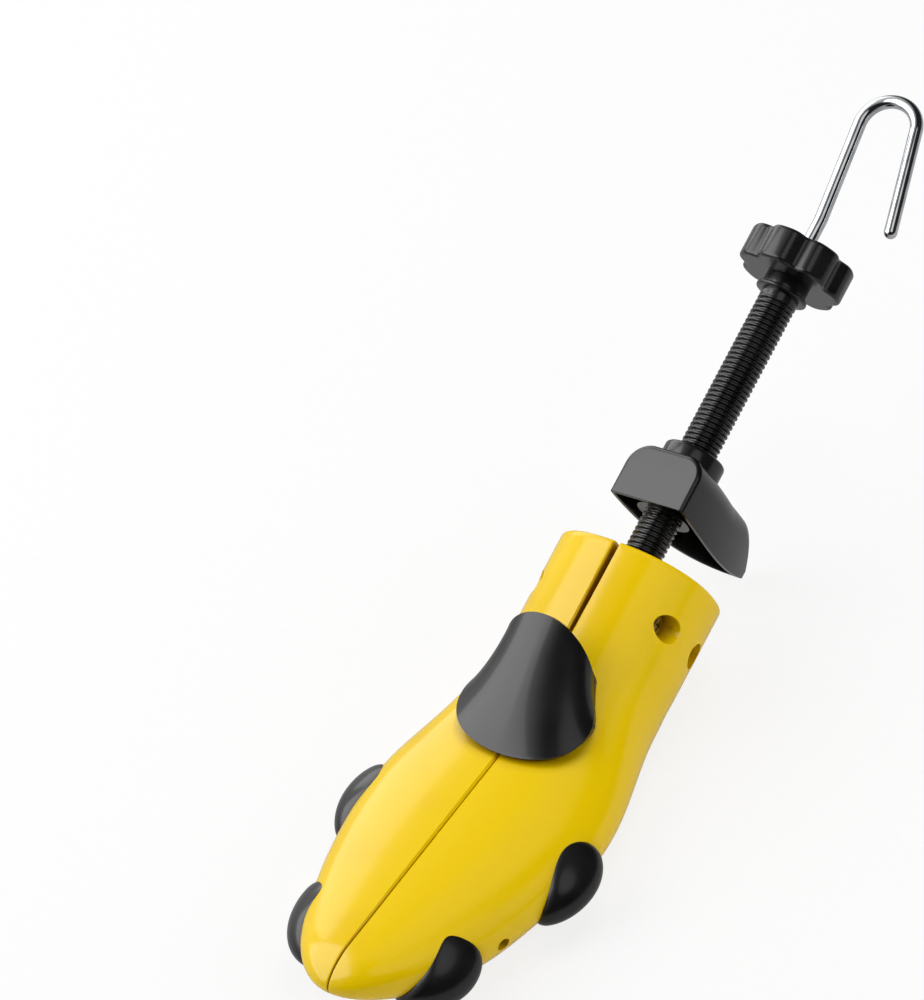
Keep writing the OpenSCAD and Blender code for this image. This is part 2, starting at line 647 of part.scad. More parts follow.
// Threaded tube with its collar, flange and hub, and the peg that carries the knob
module screw_tube() {
    color(black) stand() difference() {
        union() {
            along(-tube_front, tube_reach, tube_r);
            along(-block_back + 0.5, -block_back + 0.5 + collar_t, collar_r);
            along(tube_reach, tube_reach + flange_t, flange_r);
            along(tube_reach, knob_y, hub_r);
            along(tube_reach, knob_y + hub_peg_len, hub_peg_r);
        }
        along(-tube_front - past, knob_y + knob_t, tube_bore_r);
        difference() {
            along(-block_front - 0.5 - tube_clip_t, -block_front - 0.5, tube_r + past);
            along(-block_front - tube_clip_t - past, -block_front, tube_groove_r);
        }
    }
}

// Snap ring in the groove of the tube, in front of the bearing block
module tube_clip() {
    color(steel) stand() difference() {
        along(-block_front - 0.5 - tube_clip_t + snug, -block_front - 0.5 - snug, collar_r);
        along(-block_front - 2 * past - tube_clip_t, -block_front + past, tube_groove_r + snug);
        translate([-2, -block_front - 2 * tube_clip_t - past, -collar_r - past])
            cube([4, 3 * tube_clip_t + past, collar_r]);
    }
}

// Lobed hand knob with rounded edges
module knob() {
    facets = knob_lobes * 12;
    edge_r = 3.6;
    levels = [for (k = [0 : 4]) [edge_r * (1 - cos(90 * k / 4)), edge_r * (1 - sin(90 * k / 4))]];
    profile = concat([for (l = levels) [l[0] , l[1]]],
        [for (k = [4 : -1 : 0]) [knob_t - levels[k][0], levels[k][1]]]);
    ring = function (y, inset) [for (i = [0 : facets - 1]) let (a = 360 * i / facets,
        lobe = (1 - cos(knob_lobes * a)) / 2,
        r = knob_r - inset - knob_valley * pow(lobe, 1.6)) [r * sin(a), knob_y + y, r * cos(a)]];
    points = concat([for (p = profile) each ring(p[0], p[1])], [[0, knob_y, 0], [0, knob_y + knob_t, 0]]);
    rows = len(profile);
    color(black) stand() difference() {
        polyhedron(points, [for (i = [0 : facets - 1]) let (j = (i + 1) % facets) each [
            for (k = [0 : rows - 2])
                each quad(k * facets + i, (k + 1) * facets + i, (k + 1) * facets + j, k * facets + j),
            [rows * facets, i, j],
            [rows * facets + 1, (rows - 1) * facets + j, (rows - 1) * facets + i]]]);
        along(knob_y - past, knob_y + hub_peg_len + 0.3, hub_peg_r + snug);
        along(knob_y, knob_y + knob_t + past, tube_bore_r);
        // Dished back face
        translate([0, knob_y + knob_t - 1.6, 0]) rotate([-90, 0, 0]) cylinder(h = 3, r = 9.5, $fn = 96);
    }
}

// Heel block: a hollow horn open towards the toe, with a threaded boss
heel_levels = [0, 0.03, 0.13, 0.24, 0.36, 0.48, 0.6, 0.7, 0.78, 0.84, 0.88, 0.93, 0.965, 0.985];
heel_arcs = 14;
heel_sweep = 6.6;
heel_belly = 1.4;
heel_tip_depth = 8.2;
heel_corner = 9;
heel_boss_r = 10.5;
heel_rear_boss_r = 11.8;
heel_rear_boss_t = 5.5;
heel_web_half_w = 14.4;
heel_web_t = 1.8;
heel_web_z = -10;
function heel_half_w(t) = heel_w / 2 * (1 - pow(t, 1.8));
function heel_rim(t) = heel_y + heel_sweep * pow(t, 3) - heel_belly * sin(180 * max(t - 0.03, 0));
function heel_back(t) = heel_y + heel_depth - (heel_depth - heel_tip_depth) * pow(max(t - 0.7, 0) / 0.3, 1.7);
// U line of the block at the level t, inset by the wall
function heel_line(t, inset) = let (w = max(heel_half_w(t) - inset, heel_half_w(t) / 3), f = heel_rim(t),
    b = max(heel_back(t) - inset, mix(f, heel_back(t), 0.4)),
    c = min(heel_corner - inset, 0.75 * w, 0.6 * (b - f)), z = heel_top - heel_h * t)
    concat([[w, f, z]],
        [for (k = [0 : 5]) let (a = 18 * k) [w - c + c * cos(a), b - c + c * sin(a), z]],
        [[0, b, z]],
        [for (k = [5 : -1 : 0]) let (a = 180 - 18 * k) [-w + c + c * cos(a), b - c + c * sin(a), z]],
        [[-w, f, z]]);
heel_open = [for (i = [0 : len(heel_levels) - 2]) i > 0 && heel_levels[i + 1] < 0.881];

module heel_block() {
    color(black) stand() rotate([0, -heel_turn, 0]) difference() {
        union() {
            pod([for (t = heel_levels) heel_line(t, 0)], [for (t = heel_levels) heel_line(t, heel_wall)],
                heel_open, heel_arcs);
            along(heel_y + 0.6, heel_y + heel_depth, heel_boss_r);
            along(heel_y + heel_depth - 3, heel_y + heel_depth + heel_rear_boss_t, heel_rear_boss_r);
            translate([-5, heel_y + 1, 8]) cube([10, heel_depth - 2, heel_top - heel_wall - 8 + 0.5]);
            // Web under the boss, narrower where the corners of the horn turn in
            translate([-heel_web_half_w, heel_y + 6, heel_web_z])
                cube([2 * heel_web_half_w, heel_depth - heel_corner - 6 + 1, heel_web_t]);
            translate([-heel_corner, heel_y + 6, heel_web_z])
                cube([2 * heel_corner, heel_depth - 7, heel_web_t]);
        }
        along(heel_y - 2, heel_y + heel_depth + 8, tube_r + run_fit);
    }
}

spine();
instep_pad();
pad_screw();
hinge_pins();
drive_nut();
left_shell();
left_ear();
left_ear_screws();
left_ball_plug();
left_toe_plug();
right_shell();
right_ear();
right_ear_screws();
right_ball_plug();
right_toe_plug();
spreader_wedge();
rod_clip();
hook_rod();
screw_tube();
tube_clip();
knob();
heel_block();
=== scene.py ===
"""Looks of a two-way shoe stretcher: yellow last, black pad, plugs, heel block, screw tube and chromed hook rod."""

import json
import logging
import math
from dataclasses import dataclass
from enum import Enum
from typing import Optional, Sequence

import bpy
import numpy as np
from mathutils import Matrix, Vector

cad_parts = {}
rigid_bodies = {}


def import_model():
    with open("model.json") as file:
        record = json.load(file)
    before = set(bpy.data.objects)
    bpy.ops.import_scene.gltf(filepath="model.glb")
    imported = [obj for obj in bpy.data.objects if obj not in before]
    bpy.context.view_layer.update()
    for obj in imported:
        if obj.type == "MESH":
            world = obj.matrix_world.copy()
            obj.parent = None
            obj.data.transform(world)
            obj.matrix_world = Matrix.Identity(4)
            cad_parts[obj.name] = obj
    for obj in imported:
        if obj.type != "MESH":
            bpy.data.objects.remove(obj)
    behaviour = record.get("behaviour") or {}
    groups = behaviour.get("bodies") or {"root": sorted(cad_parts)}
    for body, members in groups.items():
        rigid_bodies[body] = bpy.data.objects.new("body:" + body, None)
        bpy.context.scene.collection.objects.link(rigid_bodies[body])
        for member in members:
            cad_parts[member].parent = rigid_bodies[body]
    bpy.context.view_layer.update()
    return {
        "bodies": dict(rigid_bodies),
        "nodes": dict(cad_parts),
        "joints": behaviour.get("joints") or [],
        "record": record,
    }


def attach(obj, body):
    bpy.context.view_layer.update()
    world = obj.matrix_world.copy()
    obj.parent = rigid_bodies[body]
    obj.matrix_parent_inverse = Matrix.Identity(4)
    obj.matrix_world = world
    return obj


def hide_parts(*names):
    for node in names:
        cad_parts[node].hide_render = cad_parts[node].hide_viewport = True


log = logging.getLogger("shoe_stretcher")
Grid = np.ndarray
MM = 0.001  # metres in a millimetre
MIX_LOW, MIX_HIGH, MIX_RESULT = 6, 7, 2  # a Mix node's sockets for colours, which share their names with others


class Side(Enum):
    """The two halves of the last, by the sign of X."""

    LEFT = -1
    RIGHT = 1


class Finish(Enum):
    """Slots of the record that the finishes stand for."""

    LAST = "last_abs"
    PAD = "pad_black"
    SCREW = "screw_black"
    CHROME = "rod_chrome"
    ZINC = "zinc_steel"


def linear(hex_colour: str) -> tuple[float, float, float, float]:
    """Turns an sRGB hex colour into linear RGBA.

    Args:
        hex_colour: six hex digits after a hash.

    Returns:
        Linear red, green, blue and an alpha of 1.
    """
    parts = [int(hex_colour[i:i + 2], 16) / 255 for i in (1, 3, 5)]
    rgb = [c / 12.92 if c <= 0.04045 else ((c + 0.055) / 1.055) ** 2.4 for c in parts]
    return (rgb[0], rgb[1], rgb[2], 1.0)


def ease(t: Grid) -> Grid:
    """Smooth step: 3t² - 2t³, with t held between 0 and 1."""
    c = np.clip(t, 0.0, 1.0)
    return c * c * (3 - 2 * c)


def mix(a: Grid, b: Grid, t: Grid) -> Grid:
    """Straight blend from a to b as t goes from 0 to 1."""
    return a * (1 - t) + b * t


def knee(d: Grid, s: float) -> Grid:
    """Zero below -s, d above s, and the parabola (d + s)² / 4s between them."""
    return np.where(d < -s, 0.0, np.where(d > s, d, (d + s) ** 2 / (4 * s)))


def quads(rows: int, cols: int, wrap_rows: bool = False, wrap_cols: bool = False, start: int = 0) -> list:
    """Lists the faces of a grid of points.

    Args:
        rows, cols: size of the grid, stored row by row.
        wrap_rows: joins the last row to the first.
        wrap_cols: joins the last column to the first.
        start: number of the grid's first point.

    Returns:
        Four point numbers for each cell, in the order of columns and then rows.
    """
    i = np.arange(rows if wrap_rows else rows - 1)
    j = np.arange(cols if wrap_cols else cols - 1)
    a, b = np.meshgrid(i, j, indexing="ij")
    a2, b2 = (a + 1) % rows, (b + 1) % cols
    faces = np.stack([a * cols + b, a * cols + b2, a2 * cols + b2, a2 * cols + b], axis=-1) + start
    return faces.reshape(-1, 4).tolist()


def room_faces(room: Grid, arcs: int) -> list:
    """Lists the faces of a skin with rooms behind it, open on the side where its rings end.

    Args:
        room: True for each interval between two rings that is hollow.
        arcs: steps along a ring.

    Returns:
        Faces over the points of the outer rings and then of the inner rings.
    """
    rings, n, base = len(room) + 1, arcs + 1, (len(room) + 1) * (arcs + 1)
    faces = [f[::-1] for f in quads(rings, n)]
    for i, hollow in enumerate(room):
        a, b = i * n, (i + 1) * n
        faces.append([a, b, base + b, base + a][::-1])
        faces.append([a + arcs, base + a + arcs, base + b + arcs, b + arcs][::-1])
        if hollow:
            faces += [[base + a + j, base + a + j + 1, base + b + j + 1, base + b + j] for j in range(arcs)]
        else:
            faces.append([base + a, base + b, base + b + arcs, base + a + arcs][::-1])
        if i and hollow != room[i - 1]:
            ring = [base + a + j for j in range(n)]
            faces.append(ring[::-1] if hollow else ring)
    end = (rings - 1) * n
    faces += [[j, base + j, base + j + 1, j + 1][::-1] for j in range(arcs)]
    faces += [[end + j, end + j + 1, base + end + j + 1, base + end + j][::-1] for j in range(arcs)]
    faces.append([base + j for j in range(n)])
    faces.append([base + end + j for j in range(n)][::-1])
    return faces


def add_node(tree: bpy.types.NodeTree, kind: str, settings: Optional[dict] = None,
             links: Optional[dict] = None) -> bpy.types.Node:
    """Adds one node, or takes the tree's own of that name, with its settings and incoming links.

    Args:
        tree: node tree to add to.
        kind: Blender's type name of a new node, or the name of one that is there.
        settings: properties, input names or input numbers with their values.
        links: input names or numbers with the outputs that feed them.

    Returns:
        The node.
    """
    node = tree.nodes.get(kind) or tree.nodes.new(kind)
    for key, value in (settings or {}).items():
        if isinstance(key, str) and hasattr(node, key):
            setattr(node, key, value)
        else:
            node.inputs[key].default_value = value
    for key, output in (links or {}).items():
        tree.links.new(output, node.inputs[key])
    return node


@dataclass(frozen=True)
class Stance:
    """The screw axis in the row frame, read from the frame's joints.

    The maker's drawing frame has its origin on the axis at the neck end, with Y towards the hook.
    """

    pin_y: float = 12.0

    def matrix(self, frame: dict) -> Grid:
        """Builds the 3 by 4 matrix from drawing millimetres to row metres.


        Returns:
            Rotation about X by the axis's rise, scaled to metres, with the neck end's place as its last column.
        """
        turn = next(j for j in frame["record"]["behaviour"]["joints"] if j["name"] == "knob_turn")
        axis = np.array(turn["axis"], float)
        axis /= np.linalg.norm(axis)
        up = np.array([0.0, -axis[2], axis[1]])
        origin = np.array(turn["pos_m"]) + axis * self.pin_y * MM
        return np.column_stack([np.array([1.0, 0, 0]) * MM, axis * MM, up * MM, origin])


class Workshop:
    """Puts numpy surfaces into Blender meshes in the row frame."""

    def __init__(self, frame: dict) -> None:
        """Keeps the frame and its drawing matrix."""
        self.frame = frame
        self.to_row = Stance().matrix(frame)

    def place(self, points: Grid) -> Grid:
        """Maps drawing millimetres (n, 3) to row metres."""
        return points @ self.to_row[:, :3].T + self.to_row[:, 3]

    def piece(self, name: str, points: Grid, faces: Sequence, flip: bool = False) -> bpy.types.Object:
        """Makes a mesh object from points and faces.

        Args:
            name: name of the object.
            points: vertices in drawing millimetres.
            faces: vertex indices of each face.
            flip: True turns every face over.

        Returns:
            The new object, linked to the scene.
        """
        mesh = bpy.data.meshes.new(name)
        loops = [tuple(reversed(f)) if flip else tuple(f) for f in faces]
        mesh.from_pydata(self.place(points.reshape(-1, 3)).tolist(), [], loops)
        mesh.validate()
        obj = bpy.data.objects.new(name, mesh)
        bpy.context.scene.collection.objects.link(obj)
        return obj

    def cylinder(self, a: Grid, b: Grid, radius: float, sides: int = 96) -> bpy.types.Object:
        """Makes a closed cylinder: rings of cos and sin about the line between two points.

        Args:
            a, b: middles of its ends, in drawing millimetres.
            radius: radius in millimetres.
            sides: steps round it.

        Returns:
            The cylinder, as an object.
        """
        a, b = np.array(a, float), np.array(b, float)
        w = (b - a) / np.linalg.norm(b - a)
        u = np.cross(w, [0.0, 0.0, 1.0] if abs(w[2]) < 0.9 else [1.0, 0.0, 0.0])
        u /= np.linalg.norm(u)
        v = np.cross(w, u)
        t = np.linspace(0, 2 * np.pi, sides, endpoint=False)
        ring = radius * (np.outer(np.cos(t), u) + np.outer(np.sin(t), v))
        faces = [(i, (i + 1) % sides, sides + (i + 1) % sides, sides + i) for i in range(sides)]
        faces += [tuple(range(sides - 1, -1, -1)), tuple(range(sides, 2 * sides))]
        return self.piece("tool", np.vstack([a + ring, b + ring]), faces)

    def block(self, low: Sequence, high: Sequence, turn: float = 0.0) -> bpy.types.Object:
        """Makes a box.

        Args:
            low, high: two corners in drawing millimetres.
            turn: radians by which it is turned about X through the origin.

        Returns:
            The box, as an object.
        """
        x, y, z = zip(low, high)
        points = np.array([(x[i], y[j], z[k]) for i in (0, 1) for j in (0, 1) for k in (0, 1)], float)
        c, s = math.cos(turn), math.sin(turn)
        points = points @ np.array([[1, 0, 0], [0, c, -s], [0, s, c]]).T
        faces = [(0, 1, 3, 2), (4, 6, 7, 5), (0, 4, 5, 1), (2, 3, 7, 6), (0, 2, 6, 4), (1, 5, 7, 3)]
        return self.piece("tool", points, faces)

    def cut(self, obj: bpy.types.Object, tools: Sequence, operation: str = "DIFFERENCE") -> None:
        """Applies boolean cuts, one per tool, and removes the tools.

        Args:
            obj: piece that is cut.
            tools: closed objects, used in order.
            operation: Blender's name of the boolean.
        """
        for tool in tools:
            step = obj.modifiers.new("cut", "BOOLEAN")
            step.operation = operation
            step.solver = "EXACT"
            step.object = tool
            self.settle(obj)
            mesh = tool.data
            bpy.data.objects.remove(tool)
            bpy.data.meshes.remove(mesh)

    def settle(self, obj: bpy.types.Object) -> None:
        """Turns the piece's live modifiers into its mesh.

        Args:
            obj: piece with modifiers.
        """
        graph = bpy.context.evaluated_depsgraph_get()
        mesh = bpy.data.meshes.new_from_object(obj.evaluated_get(graph))
        old = obj.data
        obj.modifiers.clear()
        obj.data = mesh
        mesh.name = obj.name
        bpy.data.meshes.remove(old)

    def soften(self, obj: bpy.types.Object, width: float = 0.0, angle: float = 35.0) -> None:
        """Rounds the sharp edges of a piece and shades the rest smooth.

        Args:
            obj: the piece.
            width: width of the rounding in millimetres, or 0 for none.
            angle: degrees from which an edge is sharp.
        """
        if width > 0:
            bevel = obj.modifiers.new("edge", "BEVEL")
            bevel.width = width * MM
            bevel.segments = 3
            bevel.limit_method = "ANGLE"
            bevel.angle_limit = math.radians(angle)
            self.settle(obj)
        obj.data.shade_smooth()
        obj.data.set_sharp_from_angle(angle=math.radians(angle))


@dataclass(frozen=True)
class AbsMoulded:
    """Polished yellow ABS: a clear gloss over an even colour, with the slight waviness of a moulded wall.

    The eye gets clean reflections that waver a little, and a painted shade: a browner yellow mixed in deep in gaps,
    holes and the parting seam, as far as these are closed in. The real grain is about a tenth of a millimetre and is
    drawn coarser to show.
    """

    name: str = "abs_moulded_yellow"
    colour: str = "#FAD200"
    shade: str = "#F2C600"
    # painted shade: the browner yellow that is mixed into gaps, holes and the seam by how closed in a spot is
    depth: str = "#8A5200"
    flow_mm: float = 42.0
    # reach of the painted shade's closed-in test, in millimetres
    hollow_shade_mm: float = 5.0
    ripple_mm: float = 9.0
    ripple_depth_mm: float = 0.03
    grain_mm: float = 0.7
    grain_depth_mm: float = 0.002
    roughness: float = 0.17
    wander: float = 0.03
    ior: float = 1.5
    specular: float = 0.4
    coat: float = 0.12
    coat_roughness: float = 0.05


@dataclass(frozen=True)
class Plastic:
    """Black moulded plastic, whose fine grain and handling marks break its reflections up a little.

    The real grain is about a tenth of a millimetre. It is drawn as coarse as the render shows.
    """

    name: str
    colour: str
    shade: str
    roughness: float
    grain_mm: float
    depth_mm: float
    coat: float
    mark_mm: float = 14.0
    wander: float = 0.05
    ior: float = 1.49
    coat_roughness: float = 0.08


@dataclass(frozen=True)
class Metal:
    """Bare or plated metal, whose drawn lines stretch its highlights along the axis.

    Real drawing marks are about a hundredth of a millimetre apart. They are drawn as coarse as the render shows.
    """

    name: str
    colour: str
    shade: str
    roughness: float
    line_mm: float
    depth_mm: float
    cloud_mm: float = 6.0
    line_share: float = 0.03


@dataclass(frozen=True)
class Board:
    """Matte white board, with the faint mottle of paper."""

    name: str = "matte_white_board"
    colour: str = "#F8F8F8"
    shade: str = "#F4F4F4"
    mottle_mm: float = 3.0
    roughness: float = 0.9


class Finishes:
    """Makes each finish once and puts it on pieces."""

    def __init__(self) -> None:
        """Builds the five finishes of the object."""
        self.made: dict[Finish, bpy.types.Material] = {
            Finish.LAST: self.abs_yellow(AbsMoulded()),
            # pad and plugs: a broad soft sheen over near black
            Finish.PAD: self.plastic(Plastic(
                name="polypropylene_black_gloss", colour="#0E0E0F", shade="#161618", roughness=0.3,
                grain_mm=0.8, depth_mm=0.004, coat=0.3)),
            # tube, knob and heel block: a tighter shine that picks out the thread's crests
            Finish.SCREW: self.plastic(Plastic(
                name="nylon_black_satin", colour="#0D0D0E", shade="#151517", roughness=0.24,
                grain_mm=0.5, depth_mm=0.004, coat=0.3)),
            # hook rod: a near mirror with dark and white bands along it
            Finish.CHROME: self.metal(Metal(
                name="chrome_plated_steel_rod", colour="#E4E6E8", shade="#C6CACE", roughness=0.045,
                line_mm=0.35, depth_mm=0.0006)),
            # screws, pins, nut and clips: a dull, warm grey that blurs what it mirrors
            Finish.ZINC: self.metal(Metal(
                name="zinc_plated_steel", colour="#D8D0B4", shade="#B3A884", roughness=0.28,
                line_mm=0.25, depth_mm=0.006)),
        }

    @staticmethod
    def start(name: str) -> tuple[bpy.types.Material, bpy.types.NodeTree, dict]:
        """Starts a material with a Principled shader.

        Args:
            name: name of the material.

        Returns:
            The material, its tree, and the link that feeds Object coordinates to a pattern.
        """
        material = bpy.data.materials.new(name)
        material.use_nodes = True
        tree = material.node_tree
        return material, tree, {"Vector": add_node(tree, "ShaderNodeTexCoord").outputs["Object"]}

    def abs_yellow(self, maker: AbsMoulded) -> bpy.types.Material:
        """Yellow ABS: flow shades, a painted shade of browner depths by how closed in a spot is, ripple and grain.

        Args:
            maker: colours and sizes of the finish.

        Returns:
            The material.
        """
        material, tree, place = self.start(maker.name)
        flow = add_node(tree, "ShaderNodeTexNoise", {"Scale": 1 / (maker.flow_mm * MM), "Detail": 2.0}, place)
        span = add_node(tree, "ShaderNodeMapRange", {"From Min": 0.2, "From Max": 0.5}, {"Value": flow.outputs["Fac"]})
        colour = add_node(tree, "ShaderNodeMix", {"data_type": "RGBA", MIX_LOW: linear(maker.shade),
                                                  MIX_HIGH: linear(maker.colour)}, {0: span.outputs["Result"]})
        # painted shade: ambient occlusion within that reach darkens the base colour towards the browner yellow in gaps
        # and holes
        depth = add_node(tree, "ShaderNodeAmbientOcclusion", {"samples": 6, "Distance": maker.hollow_shade_mm * MM})
        painted_hollow_shade = add_node(tree, "ShaderNodeMix", {"data_type": "RGBA", MIX_LOW: linear(maker.depth)},
                           {0: depth.outputs["AO"], MIX_HIGH: colour.outputs[MIX_RESULT]})
        grain = add_node(tree, "ShaderNodeTexNoise", {"Scale": 1 / (maker.grain_mm * MM), "Detail": 2.0}, place)
        rough = add_node(tree, "ShaderNodeMapRange",
                         {"To Min": maker.roughness - maker.wander, "To Max": maker.roughness + maker.wander},
                         {"Value": grain.outputs["Fac"]})
        ripple = add_node(tree, "ShaderNodeTexNoise", {"Scale": 1 / (maker.ripple_mm * MM), "Detail": 1.0}, place)
        wave = add_node(tree, "ShaderNodeBump", {"Strength": 1.0, "Distance": maker.ripple_depth_mm * MM},
                        {"Height": ripple.outputs["Fac"]})
        fine = add_node(tree, "ShaderNodeBump", {"Strength": 1.0, "Distance": maker.grain_depth_mm * MM},
                        {"Height": grain.outputs["Fac"], "Normal": wave.outputs["Normal"]})
        add_node(tree, "Principled BSDF",
                 {"IOR": maker.ior, "Specular IOR Level": maker.specular, "Coat Weight": maker.coat,
                  "Coat Roughness": maker.coat_roughness},
                 {"Base Color": painted_hollow_shade.outputs[MIX_RESULT], "Roughness": rough.outputs["Result"],
                  "Normal": fine.outputs["Normal"]})
        return material

    def plastic(self, maker: Plastic) -> bpy.types.Material:
        """Black plastic: handling marks shift its tone and gloss, and a fine grain raises it.

        Args:
            maker: colours and sizes of the finish.

        Returns:
            The material.
        """
        material, tree, place = self.start(maker.name)
        mark = add_node(tree, "ShaderNodeTexNoise", {"Scale": 1 / (maker.mark_mm * MM), "Detail": 3.0}, place)
        span = add_node(tree, "ShaderNodeMapRange", {"From Min": 0.35, "From Max": 0.65},
                        {"Value": mark.outputs["Fac"]})
        colour = add_node(tree, "ShaderNodeMix", {"data_type": "RGBA", MIX_LOW: linear(maker.colour),
                                                  MIX_HIGH: linear(maker.shade)}, {0: span.outputs["Result"]})
        grain = add_node(tree, "ShaderNodeTexNoise", {"Scale": 1 / (maker.grain_mm * MM), "Detail": 3.0}, place)
        rough = add_node(tree, "ShaderNodeMapRange",
                         {"To Min": maker.roughness - maker.wander, "To Max": maker.roughness + maker.wander},
                         {"Value": mark.outputs["Fac"]})
        fine = add_node(tree, "ShaderNodeBump", {"Strength": 1.0, "Distance": maker.depth_mm * MM},
                        {"Height": grain.outputs["Fac"]})
        add_node(tree, "Principled BSDF",
                 {"IOR": maker.ior, "Coat Weight": maker.coat, "Coat Roughness": maker.coat_roughness},
                 {"Base Color": colour.outputs[MIX_RESULT], "Roughness": rough.outputs["Result"],
                  "Normal": fine.outputs["Normal"]})
        return material

    def metal(self, maker: Metal) -> bpy.types.Material:
        """Plated metal: drawn lines along the axis in its gloss and height, and soft clouds in its tint.

        Args:
            maker: colours and sizes of the finish.

        Returns:
            The material.
        """
        material, tree, place = self.start(maker.name)
        drawn = add_node(tree, "ShaderNodeMapping", {"Scale": (1.0, maker.line_share, 1.0)}, place)
        lines = add_node(tree, "ShaderNodeTexNoise", {"Scale": 1 / (maker.line_mm * MM), "Detail": 2.0},
                         {"Vector": drawn.outputs["Vector"]})
        cloud = add_node(tree, "ShaderNodeTexNoise", {"Scale": 1 / (maker.cloud_mm * MM), "Detail": 2.0}, place)
        span = add_node(tree, "ShaderNodeMapRange", {"From Min": 0.3, "From Max": 0.6},
                        {"Value": cloud.outputs["Fac"]})
        colour = add_node(tree, "ShaderNodeMix", {"data_type": "RGBA", MIX_LOW: linear(maker.shade),
                                                  MIX_HIGH: linear(maker.colour)}, {0: span.outputs["Result"]})
        rough = add_node(tree, "ShaderNodeMapRange",
                         {"To Min": maker.roughness * 0.7, "To Max": maker.roughness * 1.3},
                         {"Value": lines.outputs["Fac"]})
        fine = add_node(tree, "ShaderNodeBump", {"Strength": 1.0, "Distance": maker.depth_mm * MM},
                        {"Height": lines.outputs["Fac"]})
        add_node(tree, "Principled BSDF", {"Metallic": 1.0},
                 {"Base Color": colour.outputs[MIX_RESULT], "Roughness": rough.outputs["Result"],
                  "Normal": fine.outputs["Normal"]})
        return material

    def dress(self, obj: bpy.types.Object, finish: Finish) -> None:
        """Puts the finish on a new piece.

        Args:
            obj: the piece.
            finish: which finish.
        """
        obj.data.materials.clear()
        obj.data.materials.append(self.made[finish])

    def dress_node(self, obj: bpy.types.Object, finish: Finish) -> None:
        """Puts the finish on a carried-over node's own slots."""
        for slot in obj.material_slots:
            slot.material = self.made[finish]


